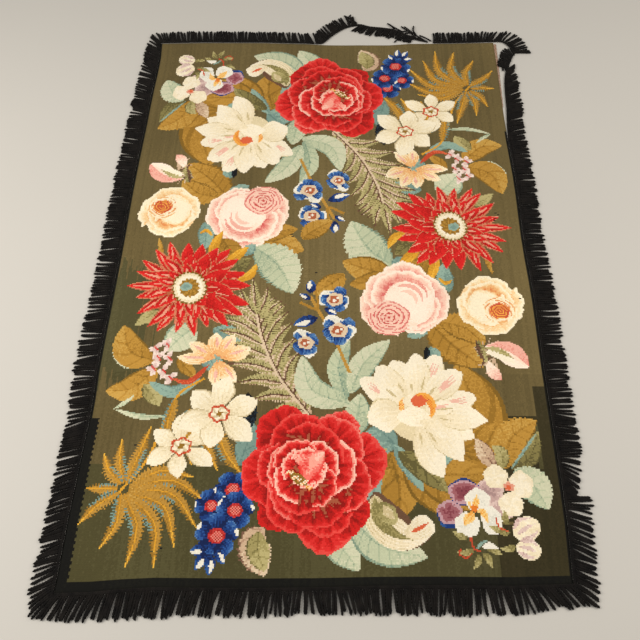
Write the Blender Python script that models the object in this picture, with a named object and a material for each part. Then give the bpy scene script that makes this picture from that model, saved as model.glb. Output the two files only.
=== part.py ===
"""Embroidered wall hanging: a wool cross-stitch panel with a black corded fringe sewn round it.

It lies face up, as it does when it is spread out. Metres, +Z up. The origin is the middle of the
panel's underside, +X runs to the right across the width and +Y runs up the length to the edge that
hangs from a wall.
Going round the panel anticlockwise, seen from above, each length of fringe has the panel on its left.
"""

import math
import random

import bmesh
import bpy
from mathutils import Vector

MM = 0.001

PANEL_WIDTH = 1.200
PANEL_LENGTH = 1.850
PANEL_THICK = 0.003
PANEL_COLUMNS = 16
PANEL_ROWS = 24

HEADING_WIDTH = 0.012
HEADING_THICK = 0.0035
HEADING_GAP = 0.0005
LOCK_PITCH = 0.0207
LOCK_SHARE = 0.80
LOCK_THICK = 0.005
LOCK_TIP_THICK = 0.004
LOCK_MIDDLE_SHARE = 0.92
LOCK_TIP_SHARE = 0.66
LOCK_REACH_SPREAD = 0.10
LOCK_SWAY = 2.0

# The loose end turns over once. There its heading is narrower and thicker, over this length either side.
TWIST_SHARE = 0.53
TWIST_REACH = 0.035
TWIST_NARROWS = 0.45
TWIST_THICKENS = 0.90

# Between these two places along the top edge the fringe is off the panel.
TOP_BARE_LEFT = -0.041
TOP_BARE_RIGHT = 0.385
TOP_CORNER = 0.590
SIDE_JOIN = 0.030

BACKING_THICK = 0.0012
BACKING_ROWS = 12
BACKING_BOTTOM = 0.610
BACKING_TOP = 0.922
BACKING_WIDTH_BOTTOM = 0.002
BACKING_WIDTH_TOP = 0.009

# Each edge strays from a true rectangle. Columns: share along the edge, how far it moves in mm.
# Left and right edges run from bottom to top and move along X.
EDGE_LEFT = (
    (0.0, -4), (0.08, -4), (0.15, -1), (0.23, 3), (0.30, -2), (0.50, 0), (0.63, -2), (0.84, 3),
    (0.95, 8), (1.0, 2),
)
EDGE_RIGHT = (
    (0.0, -9), (0.04, -5), (0.10, 0), (0.30, 0), (0.42, 3), (0.53, -1), (0.65, 3), (0.77, -2), (1.0, 0),
)
# Top and bottom edges run left to right and move along Y.
EDGE_BOTTOM = (
    (0.0, -21), (0.06, -18), (0.11, -11), (0.17, -5), (0.35, -4), (0.50, 0), (0.62, 6), (0.75, 9),
    (0.87, 10), (1.0, 16),
)
EDGE_TOP = (
    (0.0, 2), (0.12, 6), (0.30, 5), (0.45, -1), (0.52, -8), (0.61, -10), (0.70, -8), (0.75, 0),
    (0.85, 0), (1.0, 5),
)

# Places where the cloth stands off what it lies on, in mm.
# Columns: x, y, half lengths along x and y, height.
RIPPLES = (
    (135, 925, 120, 55, 2.0),
    (600, 800, 45, 110, 1.2),
    (-560, -940, 90, 45, 1.5),
)

# How the cords of each fringe lie. Columns: share along the fringe, direction in degrees from +X,
# reach in mm, and the side of the heading that they hang from, 1 away from the panel or -1 towards it.
CORDS_LEFT = (
    (0.00, 128, 46, 1), (0.05, 150, 50, 1), (0.15, 165, 50, 1), (0.30, 178, 50, 1),
    (0.50, 182, 50, 1), (0.66, 184, 54, 1), (0.78, 196, 50, 1), (0.86, 202, 48, 1),
    (0.95, 203, 50, 1), (1.00, 222, 56, 1),
)
CORDS_BOTTOM = (
    (0.00, 236, 58, 1), (0.04, 250, 56, 1), (0.12, 262, 54, 1), (0.36, 260, 50, 1),
    (0.46, 272, 48, 1), (0.54, 280, 46, 1), (0.66, 274, 50, 1), (0.80, 270, 52, 1),
    (0.88, 284, 50, 1), (0.96, 302, 48, 1), (1.00, 318, 52, 1),
)
CORDS_RIGHT = (
    (0.00, -34, 50, 1), (0.03, -24, 50, 1), (0.10, -14, 52, 1), (0.118, 4, 56, 1),
    (0.132, -46, 34, 1), (0.155, -30, 40, 1), (0.18, -3, 50, 1), (0.45, 0, 50, 1),
    (0.65, 3, 48, 1), (0.80, 12, 48, 1), (0.90, 24, 44, 1), (0.960, 32, 34, 1),
    (0.968, 122, 24, -1), (1.00, 114, 30, -1),
)
CORDS_TOP_RIGHT = (
    (0.00, 8, 50, 1), (0.14, 30, 56, 1), (0.26, 52, 52, 1), (0.38, 72, 46, 1),
    (0.60, 88, 42, 1), (1.00, 95, 42, 1),
)
CORDS_TOP_LEFT = (
    (0.00, 106, 44, 1), (0.20, 97, 44, 1), (0.60, 95, 46, 1), (0.92, 98, 46, 1), (1.00, 118, 48, 1),
)
CORDS_LOOSE = (
    (0.00, 252, 26, -1), (0.16, 246, 34, -1), (0.34, 240, 40, -1), (0.50, 236, 36, -1),
    (0.56, 98, 40, 1), (0.66, 124, 50, 1), (0.84, 120, 50, 1), (1.00, 98, 46, 1),
)

# The torn-off length of fringe, from its frayed end back to the last stitch. Columns: x, y in mm.
LOOSE_PATH = (
    (318, 955), (294, 962), (252, 990), (208, 1001), (160, 1008), (118, 1020), (72, 1006),
    (28, 969), (4, 940), (-12, 923.5), (-37, 921.4),
)
# The fringe stands clear of the top right corner, and of the right edge below it. Columns: x, y in mm.
CORNER_PATH = ((664, 872), (652, 906), (632, 929), (612, 932))
SIDE_PATH = (
    (602, 520), (609, 600), (613, 680), (618, 735), (627, 780), (640, 820), (651, 848),
)

BLACK_WOOL = (0.012, 0.011, 0.011)
OLIVE_WOOL = (0.105, 0.085, 0.035)
BACKING_LINEN = (0.42, 0.30, 0.22)


def clear_scene():
    for thing in list(bpy.data.objects):
        bpy.data.objects.remove(thing)


def cloth_material(name, colour, roughness):
    material = bpy.data.materials.new(name)
    material.use_nodes = True
    shader = material.node_tree.nodes["Principled BSDF"]
    shader.inputs["Base Color"].default_value = (*colour, 1.0)
    shader.inputs["Roughness"].default_value = roughness
    shader.inputs["Metallic"].default_value = 0.0
    return material


def smooth_step(share):
    return share * share * (3 - 2 * share)


def read_table(table, share):
    """A table's values at a share along it, eased from row to row."""
    for before, after in zip(table, table[1:]):
        if share <= after[0]:
            part = smooth_step(max(0.0, (share - before[0]) / (after[0] - before[0])))
            return [low + (high - low) * part for low, high in zip(before[1:], after[1:])]
    return list(table[-1][1:])


def panel_point(across, along):
    """The place on the panel's underside at shares of its width and length."""
    left = read_table(EDGE_LEFT, along)[0] * MM
    right = read_table(EDGE_RIGHT, along)[0] * MM
    bottom = read_table(EDGE_BOTTOM, across)[0] * MM
    top = read_table(EDGE_TOP, across)[0] * MM
    x = (across - 0.5) * PANEL_WIDTH + left * (1 - across) + right * across
    y = (along - 0.5) * PANEL_LENGTH + bottom * (1 - along) + top * along
    return Vector((x, y, ripple(x, y)))


def ripple(x, y):
    """How far the cloth stands off the floor. Each ripple is a soft mound."""
    height = 0.0
    for middle_x, middle_y, half_x, half_y, tall in RIPPLES:
        away = math.hypot((x - middle_x * MM) / (half_x * MM), (y - middle_y * MM) / (half_y * MM))
        if away < 1.0:
            height += tall * MM * smooth_step(1.0 - away)
    return height


def finish_object(bm, name, material):
    mesh = bpy.data.meshes.new(name)
    bm.to_mesh(mesh)
    bm.free()
    mesh.materials.append(material)
    thing = bpy.data.objects.new(name, mesh)
    bpy.context.scene.collection.objects.link(thing)
    return thing


def make_panel(material):
    bm = bmesh.new()
    bmesh.ops.create_grid(bm, x_segments=PANEL_COLUMNS, y_segments=PANEL_ROWS, size=0.5)
    for vert in bm.verts:
        vert.co = panel_point(vert.co.x + 0.5, vert.co.y + 0.5)
    panel = finish_object(bm, "embroidered_panel", material)
    thickness = panel.modifiers.new("cloth_thickness", "SOLIDIFY")
    thickness.thickness = PANEL_THICK
    thickness.offset = 1.0
    return panel


def make_backing_edge(material):
    """The sliver of backing cloth that shows beside the right edge, where the fringe has come away."""
    right = edge_points("right")
    bm = bmesh.new()
    bmesh.ops.create_grid(bm, x_segments=1, y_segments=BACKING_ROWS, size=0.5)
    for vert in bm.verts:
        share = vert.co.y + 0.5
        y = BACKING_BOTTOM + (BACKING_TOP - BACKING_BOTTOM) * share
        edge = side_x(right, y)
        width = BACKING_WIDTH_BOTTOM + (BACKING_WIDTH_TOP - BACKING_WIDTH_BOTTOM) * share
        vert.co = Vector((edge + HEADING_GAP + width * (vert.co.x + 0.5), y, 0.0))
    strip = finish_object(bm, "backing_edge", material)
    thickness = strip.modifiers.new("cloth_thickness", "SOLIDIFY")
    thickness.thickness = BACKING_THICK
    thickness.offset = 1.0
    return strip


def edge_points(side):
    """The panel's outline along one side, at its own columns or rows, in the order that the fringe runs."""
    rows = [row / PANEL_ROWS for row in range(PANEL_ROWS + 1)]
    columns = [column / PANEL_COLUMNS for column in range(PANEL_COLUMNS + 1)]
    points = {
        "left": [panel_point(0.0, along) for along in reversed(rows)],
        "bottom": [panel_point(across, 0.0) for across in columns],
        "right": [panel_point(1.0, along) for along in rows],
        "top": [panel_point(across, 1.0) for across in reversed(columns)],
    }[side]
    return [Vector((point.x, point.y)) for point in points]


def edge_at(points, at_x):
    """The point of the top edge at a given x."""
    for right, left in zip(points, points[1:]):
        if at_x >= left.x:
            return left.lerp(right, (at_x - left.x) / (right.x - left.x))
    return points[-1]


def side_x(points, at_y):
    """Where a side edge crosses a given y."""
    for low, high in zip(points, points[1:]):
        if at_y <= high.y:
            return low.x + (high.x - low.x) * (at_y - low.y) / (high.y - low.y)
    return points[-1].x


def curve_through(table, steps=8):
    """A smooth line through the points of a table in mm."""
    points = [Vector(row) * MM for row in table]
    padded = [points[0] * 2 - points[1], *points, points[-1] * 2 - points[-2]]
    line = []
    for p0, p1, p2, p3 in zip(padded, padded[1:], padded[2:], padded[3:]):
        for step in range(steps):
            t = step / steps
            bend = 2 * p0 - 5 * p1 + 4 * p2 - p3
            swing = 3 * p1 - p0 - 3 * p2 + p3
            line.append(0.5 * (2 * p1 + (p2 - p0) * t + bend * t**2 + swing * t**3))
    return [*line, points[-1]]


def walk(line, length):
    """The place and the direction at a length along a line. Past either end the line runs straight on."""
    for start, end in zip(line, line[1:]):
        step = (end - start).length
        if length <= step or end is line[-1]:
            heading = (end - start) / step
            return start + heading * length, heading
        length -= step
    return line[-1], Vector((1, 0))


def line_length(line):
    return sum((end - start).length for start, end in zip(line, line[1:]))


def outward(heading):
    return Vector((heading.y, -heading.x))


def section(line, length, twist_at):
    """Four corners of the heading's cross-section: inner low, outer low, outer high, inner high."""
    place, heading = walk(line, length)
    width, thick = HEADING_WIDTH, HEADING_THICK
    if twist_at is not None:
        pinch = smooth_step(max(0.0, 1 - abs(length - twist_at) / TWIST_REACH))
        width *= 1 - TWIST_NARROWS * pinch
        thick *= 1 + TWIST_THICKENS * pinch
    inner = place + outward(heading) * HEADING_GAP
    outer = inner + outward(heading) * width
    return [inner.to_3d(), outer.to_3d(), Vector((*outer, thick)), Vector((*inner, thick))]


def extrude_to(bm, face, places, corner, station, number):
    """Extrudes a face and puts each new vertex where its corner and station say."""
    joined = any(len(edge.link_faces) > 1 for edge in face.edges)
    grown = bmesh.ops.extrude_face_region(bm, geom=[face])["geom"]
    if joined:
        bmesh.ops.delete(bm, geom=[face], context="FACES_ONLY")
    new_face = next(item for item in grown if isinstance(item, bmesh.types.BMFace))
    for vert in new_face.verts:
        if number is not None:
            vert[station] = number
        vert.co = places[(vert[corner], vert[station])]
    return new_face


def make_heading(bm, line, spans, twist_at, corner, station):
    """Sweeps the heading's section along the line, with a ring of vertices at each length in spans."""
    first = section(line, spans[0], twist_at)
    face = bm.faces.new([bm.verts.new(place) for place in first])
    for number, vert in enumerate(face.verts):
        vert[corner] = number
        vert[station] = 0
    for number, length in enumerate(spans[1:], 1):
        places = {(index, number): place for index, place in enumerate(section(line, length, twist_at))}
        face = extrude_to(bm, face, places, corner, station, number)


def lock_places(face, corner, station, angle, reach, share, thick):
    """The corners of a lock of cords at a reach from its root, with the root's width times share."""
    low_station = min(vert[station] for vert in face.verts)
    roots = {(vert[corner], vert[station]): vert.co.copy() for vert in face.verts}
    starts = [place for (_, number), place in roots.items() if number == low_station]
    ends = [place for (_, number), place in roots.items() if number != low_station]
    start = sum(starts, Vector()) / 2
    end = sum(ends, Vector()) / 2
    middle = (start + end) / 2
    direction = Vector((math.cos(angle), math.sin(angle), 0))
    across = Vector((-direction.y, direction.x, 0))
    half = (end - start).length / 2 * share
    turn = 1 if across.dot(end - start) > 0 else -1
    places = {}
    for index, number in roots:
        sideways = -half if number == low_station else half
        place = middle + direction * reach + across * sideways * turn
        place.z = thick if index >= 2 else 0.0
        places[(index, number)] = place
    return places


def make_fringe(name, line, cords, material, seed, twist_at=None):
    """A heading with its locks of cords, in one closed piece. Each lock grows out of the heading."""
    chance = random.Random(seed)
    total = line_length(line)
    locks = int(total / LOCK_PITCH)
    pitch = total / locks
    spans = [0.0]
    for number in range(locks):
        middle = (number + 0.5) * pitch
        spans += [middle - pitch * LOCK_SHARE / 2, middle + pitch * LOCK_SHARE / 2]
    spans.append(total)
    bm = bmesh.new()
    corner = bm.verts.layers.int.new("corner")
    station = bm.verts.layers.int.new("station")
    make_heading(bm, line, spans, twist_at, corner, station)
    walls = {}
    for face in bm.faces:
        numbers = sorted({vert[station] for vert in face.verts})
        corners = tuple(sorted({vert[corner] for vert in face.verts}))
        if len(numbers) == 2 and corners in ((1, 2), (0, 3)):
            walls[(numbers[0], 1 if corners == (1, 2) else -1)] = face
    for number in range(locks):
        degrees, reach, side = read_table(cords, (number + 0.5) / locks)
        side = 1 if side > 0 else -1
        angle = math.radians(degrees + chance.uniform(-LOCK_SWAY, LOCK_SWAY))
        reach *= MM * (1 + chance.uniform(-LOCK_REACH_SPREAD, LOCK_REACH_SPREAD / 2))
        face = walls[(2 * number + 1, side)]
        middle = lock_places(face, corner, station, angle, reach * 0.5, LOCK_MIDDLE_SHARE, LOCK_THICK)
        bend = angle + math.radians(chance.uniform(-LOCK_SWAY, LOCK_SWAY))
        tip = lock_places(face, corner, station, bend, reach, LOCK_TIP_SHARE, LOCK_TIP_THICK)
        face = extrude_to(bm, face, middle, corner, station, None)
        extrude_to(bm, face, tip, corner, station, None)
    bmesh.ops.recalc_face_normals(bm, faces=bm.faces)
    return finish_object(bm, name, material)


def main():
    clear_scene()
    olive = cloth_material("olive_wool_cross_stitch", OLIVE_WOOL, 0.9)
    black = cloth_material("black_wool_fringe", BLACK_WOOL, 0.85)
    linen = cloth_material("backing_linen", BACKING_LINEN, 0.9)
    make_panel(olive)
    make_backing_edge(linen)

    left = edge_points("left")
    bottom = edge_points("bottom")
    right = edge_points("right")
    top = edge_points("top")
    past_corner = HEADING_WIDTH + HEADING_GAP
    left_line = [left[0] + Vector((0, past_corner)), *left, left[-1] - Vector((0, past_corner))]
    clear = Vector((HEADING_GAP, 0))
    bottom_line = [bottom[0] + clear, *bottom[1:-1], bottom[-1] - clear]
    side = curve_through(SIDE_PATH)
    sewn_side = [point for point in right if point.y < side[0].y - SIDE_JOIN]
    right_line = [right[0] - Vector((0, past_corner)), *sewn_side, *side]
    corner = curve_through(CORNER_PATH)
    sewn_right = [point for point in top if TOP_BARE_RIGHT < point.x < TOP_CORNER]
    sewn_left = [point for point in top if point.x < TOP_BARE_LEFT]
    top_right_line = [*corner, *sewn_right, edge_at(top, TOP_BARE_RIGHT)]
    top_left_line = [edge_at(top, TOP_BARE_LEFT), *sewn_left[:-1], sewn_left[-1] + clear]
    loose_line = curve_through(LOOSE_PATH)

    make_fringe("fringe_left", left_line, CORDS_LEFT, black, 11)
    make_fringe("fringe_bottom", bottom_line, CORDS_BOTTOM, black, 12)
    make_fringe("fringe_right", right_line, CORDS_RIGHT, black, 13)
    make_fringe("fringe_top_right", top_right_line, CORDS_TOP_RIGHT, black, 14)
    make_fringe("fringe_top_left", top_left_line, CORDS_TOP_LEFT, black, 15)
    twist_at = line_length(loose_line) * TWIST_SHARE
    make_fringe("fringe_loose_end", loose_line, CORDS_LOOSE, black, 16, twist_at)


main()
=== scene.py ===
"""Looks of the wool-work wall hanging: a stitched panel of garden flowers with a black corded fringe.

The panel is worked from a chart, one wool for each stitch. The chart is drawn by the functions below from
petals, leaves and fronds, half of the design at a time, and each motif of it becomes a piece of its own.
"""

import math
import random

import bmesh
import bpy
import numpy as np
from mathutils import Matrix, Vector


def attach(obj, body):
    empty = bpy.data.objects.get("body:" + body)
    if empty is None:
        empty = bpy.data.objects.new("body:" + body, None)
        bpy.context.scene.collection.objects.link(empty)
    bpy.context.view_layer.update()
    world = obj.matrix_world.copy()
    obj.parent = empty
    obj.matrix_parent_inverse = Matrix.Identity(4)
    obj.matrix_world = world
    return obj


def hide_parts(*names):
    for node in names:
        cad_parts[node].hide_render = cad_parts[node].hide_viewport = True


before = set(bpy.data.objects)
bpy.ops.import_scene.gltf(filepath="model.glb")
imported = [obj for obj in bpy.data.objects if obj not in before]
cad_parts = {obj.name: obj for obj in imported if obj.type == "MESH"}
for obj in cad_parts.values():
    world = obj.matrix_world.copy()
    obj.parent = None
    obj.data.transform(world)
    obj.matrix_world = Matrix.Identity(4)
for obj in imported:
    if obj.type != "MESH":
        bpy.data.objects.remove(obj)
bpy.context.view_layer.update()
MM = 0.001

# ---- camera, floor and light ----

CAMERA_PLACE = (0.03876, -1.17950, 1.70781)
CAMERA_DOWN = 1.05675
CAMERA_YAW = -0.0425
CAMERA_ROLL = -0.0300
CAMERA_LENS = 39.375
CAMERA_SENSOR = 36.0


def make_camera():
    """Stands 1.7 m over the floor and looks down on the panel from its lower edge."""
    ahead = Vector((
        math.sin(CAMERA_YAW) * math.cos(CAMERA_DOWN),
        math.cos(CAMERA_YAW) * math.cos(CAMERA_DOWN),
        -math.sin(CAMERA_DOWN),
    ))
    level = Vector((math.cos(CAMERA_YAW), -math.sin(CAMERA_YAW), 0))
    up = level.cross(ahead)
    right = level * math.cos(CAMERA_ROLL) + up * math.sin(CAMERA_ROLL)
    up = up * math.cos(CAMERA_ROLL) - level * math.sin(CAMERA_ROLL)
    data = bpy.data.cameras.new("camera")
    data.lens = CAMERA_LENS
    data.sensor_width = CAMERA_SENSOR
    camera = bpy.data.objects.new("camera", data)
    turn = Matrix((right, up, -ahead)).transposed().to_4x4()
    camera.matrix_world = Matrix.Translation(CAMERA_PLACE) @ turn
    bpy.context.scene.collection.objects.link(camera)
    bpy.context.scene.camera = camera


def linear(hex_colour):
    """An sRGB hex colour as the linear numbers that a shader takes."""
    values = [int(hex_colour[i : i + 2], 16) / 255 for i in (0, 2, 4)]
    return [v / 12.92 if v <= 0.04045 else ((v + 0.055) / 1.055) ** 2.4 for v in values]


def add_node(tree, kind, settings=None, values=None, links=None):
    """Adds a node with its settings, its unlinked values and its links, each link from (node, output)."""
    node = tree.nodes.new(kind)
    for name, value in (settings or {}).items():
        setattr(node, name, value)
    for name, value in (values or {}).items():
        node.inputs[name].default_value = value
    for name, (source, output) in (links or {}).items():
        tree.links.new(source.outputs[output], node.inputs[name])
    return node


def new_material(name, roughness, sheen=0.0, sheen_roughness=0.5):
    material = bpy.data.materials.new(name)
    material.use_nodes = True
    tree = material.node_tree
    shader = tree.nodes["Principled BSDF"]
    shader.inputs["Roughness"].default_value = roughness
    shader.inputs["IOR"].default_value = 1.5
    shader.inputs["Specular IOR Level"].default_value = 0.12
    shader.inputs["Sheen Weight"].default_value = sheen
    shader.inputs["Sheen Roughness"].default_value = sheen_roughness
    return material, tree, shader


def show(name, mesh, material, *, part=True):
    mesh.materials.clear()
    mesh.materials.append(material)
    thing = bpy.data.objects.new(name, mesh)
    bpy.context.scene.collection.objects.link(thing)
    if part:
        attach(thing, "root")
    return thing


def make_stage():
    """A plain pale floor, lit as by a wide window to the lower left."""
    material, tree, shader = new_material("pale_painted_floor", 0.7)
    place = add_node(tree, "ShaderNodeTexCoord")
    patches = add_node(
        tree, "ShaderNodeTexNoise", values={"Scale": 0.7, "Detail": 3.0}, links={"Vector": (place, "Object")}
    )
    tint = add_node(tree, "ShaderNodeMix", {"data_type": "RGBA"}, links={"Factor": (patches, "Fac")})
    tint.inputs["A"].default_value = (*linear(FLOOR_COLOURS[0]), 1)
    tint.inputs["B"].default_value = (*linear(FLOOR_COLOURS[1]), 1)
    tree.links.new(tint.outputs["Result"], shader.inputs["Base Color"])
    bm = bmesh.new()
    bmesh.ops.create_grid(bm, x_segments=1, y_segments=1, size=8.0)
    bmesh.ops.translate(bm, vec=(0, 0, -0.0003), verts=bm.verts)
    mesh = bpy.data.meshes.new("floor")
    bm.to_mesh(mesh)
    bm.free()
    show("floor", mesh, material, part=False)

    world = bpy.data.worlds.new("soft_room_light")
    world.use_nodes = True
    background = world.node_tree.nodes["Background"]
    background.inputs["Color"].default_value = (*linear(SKY_COLOUR), 1)
    background.inputs["Strength"].default_value = SKY_STRENGTH
    bpy.context.scene.world = world
    for name, place, size, power, colour in LIGHTS:
        data = bpy.data.lights.new(name, "AREA")
        data.shape = "RECTANGLE"
        data.size, data.size_y = size
        data.energy = power
        data.color = linear(colour)
        light = bpy.data.objects.new(name, data)
        light.location = place
        light.rotation_euler = (-Vector(place)).to_track_quat("-Z", "Y").to_euler()
        bpy.context.scene.collection.objects.link(light)
    bpy.context.scene.view_settings.view_transform = "Standard"


FLOOR_COLOURS = ("c0bdb7", "c9c5be")
SKY_COLOUR = "fffdf9"
SKY_STRENGTH = 0.42
# Columns: name, place, size in metres, power in watts, colour.
LIGHTS = (
    ("window_light", (-1.9, -0.45, 1.9), (2.0, 1.6), 50, "fffaf2"),
    ("room_light", (2.0, -0.15, 2.1), (2.2, 2.0), 42, "fff8ee"),
)

make_camera()
make_stage()

# ---- the stitch chart ----

STITCH = 3.5
COLUMNS = 343
ROWS = 529
HALF_TURN = (6.0, -3.0)

# The wools by name, each family from its darkest shade to its lightest.
WOOLS = {
    "olive": ("5a4e2f", "615434", "685a38", "70613d", "786843"),
    "dark_olive": ("332e1b", "38321e", "3e3723", "453d27"),
    "black_green": ("121210", "161612", "1a1a16"),
    "moss": ("4b462a", "524d30", "595436"),
    "peony": ("a4553b", "8f1713", "ab1b18", "c9211e", "dc2f2c", "e54a42", "ef7468", "f6a390", "fac2ae"),
    "scarlet": ("9d1a16", "bb1d1a", "d32422", "e23a33"),
    "brick_rose": ("b0603f", "cf7c5c", "e39a80"),
    "lily": ("a98d60", "cbb88b", "dfcea6", "ead9b5", "f1e2c2", "f5e9cf"),
    "blush": ("e2a08c", "eeb9a5", "f4d0ba"),
    "flame": ("c65538", "e07a2c", "eda64a", "f4c97c"),
    "rose": ("c8564f", "d7716a", "e29182", "ecae9c", "f4c8b3", "f8dcc5", "fae6d2"),
    "apricot": ("cf6a3c", "df8e55", "eab174", "f2cd98", "f6dfb4", "f9ebcb"),
    "narcissus": ("c9b790", "dfcea8", "eddebc", "f4e8cc"),
    "coral": ("bf4a2e", "d8643f"),
    "ochre": ("7f5f24", "936c28", "a87c31", "b88a3b", "c49a4b"),
    "gold": ("c18a2b", "d79b2f", "e6b040"),
    "teal": ("66827a", "7a958a", "8faa9b"),
    "sage": ("7d937f", "96a68b", "abb697", "bfc5a4", "cfcfb0"),
    "leaf_pink": ("7a5a48", "b08d72", "c9ab8c", "dcc4a4"),
    "fern_green": ("625a35", "827848", "9f935e", "b6aa74"),
    "fern_brown": ("4f3a2b", "6b4d39"),
    "blue": ("16244f", "1d3a76", "2f5796", "5079ac", "86a6c4"),
    "white": ("c4c7bf", "dfdbcc", "eee8d8"),
    "berry": ("a3221f", "c63a33", "e3897a"),
    "mauve": ("6b2f3c", "86434c", "9f6066", "c39aa0"),
    "petal_mauve": ("a98a86", "c4a39c", "dcc0b6", "ecd8cb"),
    "night": ("16181b", "23303a"),
}
NAMES = [(family, shade) for family, shades in WOOLS.items() for shade in range(len(shades))]
NUMBER = {name: number for number, name in enumerate(NAMES)}


class Chart:
    """Which wool each stitch is worked in, and which motif it belongs to."""

    def __init__(self):
        self.wool = np.zeros((ROWS, COLUMNS), int)
        self.motif = np.zeros((ROWS, COLUMNS), int)
        self.names = ["ground"]
        self.half = ""
        self.now = 0

    def start(self, motif):
        name = self.half + motif
        if name not in self.names:
            self.names.append(name)
        self.now = self.names.index(name)


X = (np.arange(COLUMNS) - (COLUMNS - 1) / 2) * STITCH
Y = (np.arange(ROWS) - (ROWS - 1) / 2) * STITCH
chance = np.random.default_rng(7)
GRAIN = chance.uniform(-1, 1, (ROWS, COLUMNS))


def curve(points, count=48):
    """A smooth line through a few points."""
    points = np.array(points, float)
    padded = np.vstack([2 * points[0] - points[1], points, 2 * points[-1] - points[-2]])
    line = []
    spans = len(points) - 1
    for i in range(spans):
        p0, p1, p2, p3 = padded[i : i + 4]
        t = np.linspace(0, 1, count // spans + 1)[:, None][: None if i == spans - 1 else -1]
        bent = (2 * p0 - 5 * p1 + 4 * p2 - p3) * t**2 + (3 * p1 - p0 - 3 * p2 + p3) * t**3
        line.append(0.5 * (2 * p1 + (p2 - p0) * t + bent))
    return np.vstack(line)


class Spot:
    """Where a motif is stitched: its middle, its turn in degrees and its size."""

    def __init__(self, x=0.0, y=0.0, turn=0.0, size=1.0):
        self.x, self.y, self.turn, self.size = x, y, turn, size

    def at(self, points):
        points = np.array(points, float) * self.size
        a = math.radians(self.turn)
        turned = points @ np.array([[math.cos(a), math.sin(a)], [-math.sin(a), math.cos(a)]])
        return turned + (self.x, self.y)

    def inner(self, x, y, turn=0.0, size=1.0):
        (px, py), = self.at([(x, y)])
        return Spot(px, py, self.turn + turn, self.size * size)


def window(low, high):
    """The block of stitches between two corners in mm."""
    c0, c1 = np.searchsorted(X, (low[0], high[0]))
    r0, r1 = np.searchsorted(Y, (low[1], high[1]))
    return slice(r0, r1), slice(c0, c1)


def work(chart, rows, columns, mask, family, tone):
    """Works the stitches of a mask in a family of wools. A tone from 0 to 1 picks the shade."""
    shades = len(WOOLS[family])
    grain = GRAIN[rows, columns] * 0.35 / shades
    shade = np.clip(((np.clip(tone, 0, 0.999) + grain) * shades).astype(int), 0, shades - 1)
    chart.wool[rows, columns][mask] = (NUMBER[(family, 0)] + shade)[mask]
    chart.motif[rows, columns][mask] = chart.now


def oval(s):
    return np.sin(np.pi * np.clip(s, 0, 1) ** 0.9) ** 0.75


def lance(s):
    return np.sin(np.pi * np.clip(s, 0, 1) ** 0.75) ** 1.1


def rounded(s):
    """A petal that widens to a broad, rounded end."""
    s = np.clip(s, 0, 1)
    rise = np.clip(s / 0.62, 0, 1)
    cap = (1 - np.clip((s - 0.62) / 0.38, 0, 1) ** 2.8) ** (1 / 2.8)
    return (0.25 + 0.75 * np.sin(rise * np.pi / 2)) * cap


def spoon(s):
    """A petal with a narrow base and a pointed end."""
    s = np.clip(s, 0, 1)
    return np.sin(np.pi * s**1.25) ** 0.85 * (1 - 0.15 * s)


def blunt(s):
    """A petal that is widest past its middle and rounded at the end."""
    return np.sin(np.pi * np.clip(s, 0, 1) ** 1.18) ** 0.70


def dart(s):
    return np.sin(np.pi * np.clip(s, 0, 1) ** 1.05) ** 0.85


def sickle(s):
    """A frond that is widest near its foot and runs out to a thin tip."""
    return np.sin(np.pi * np.clip(s, 0, 1) ** 0.62) ** 0.75


def stalk(s):
    return np.ones_like(s)


def along(spot, path, reach):
    """Where each stitch near a path lies: share of its length, and mm across it, to its left."""
    line = spot.at(curve(path))
    rows, columns = window(line.min(0) - reach, line.max(0) + reach)
    x, y = np.meshgrid(X[columns], Y[rows])
    if x.size == 0:
        return rows, columns, x, y
    step = np.gradient(line, axis=0)
    step /= np.linalg.norm(step, axis=1)[:, None] + 1e-9
    offset_x = x[..., None] - line[:, 0]
    offset_y = y[..., None] - line[:, 1]
    nearest = np.argmin(offset_x**2 + offset_y**2, axis=-1)
    ox = np.take_along_axis(offset_x, nearest[..., None], -1)[..., 0]
    oy = np.take_along_axis(offset_y, nearest[..., None], -1)[..., 0]
    sx, sy = step[nearest, 0], step[nearest, 1]
    lengths = np.concatenate([[0], np.cumsum(np.linalg.norm(np.diff(line, axis=0), axis=1))])
    ahead = ox * sx + oy * sy
    share = np.nan_to_num((lengths[nearest] + ahead) / lengths[-1])
    return rows, columns, share, sx * oy - sy * ox


def wave(v, seed, pitch):
    """A lumpy line, from -1 to 1, that repeats nowhere on a petal."""
    return np.sin(v * pitch + seed * 1.7) * 0.6 + np.sin(v * pitch * 2.3 + seed * 4.1) * 0.4


def blade(
    chart, spot, path, width, outline, family, tone, ruffle=0.0, teeth=None, lobes=4.0, seed=0.0,
    only=(-1, 1),
):
    """A petal, leaf, frond or stalk that follows a path. tone(share, across) gives its shades."""
    half = width / 2 * spot.size
    rows, columns, share, across = along(spot, path, half * 1.3 + 6)
    if share.size == 0:
        return
    v = across / half
    reach = share / (1 + ruffle * wave(v, seed, lobes)) if ruffle else share
    edge = outline(reach)
    if teeth:
        count, depth, slant = teeth
        saw = (reach * count - np.abs(v) * slant) % 1.0
        edge = edge * (1 - depth * saw)
    mask = (reach > 0) & (reach < 1) & (np.abs(v) < edge)
    side = np.clip(v / np.maximum(edge, 1e-3), -1, 1)
    mask &= (side >= only[0]) & (side <= only[1])
    work(chart, rows, columns, mask, family, tone(reach, side) + np.zeros_like(reach))


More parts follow.
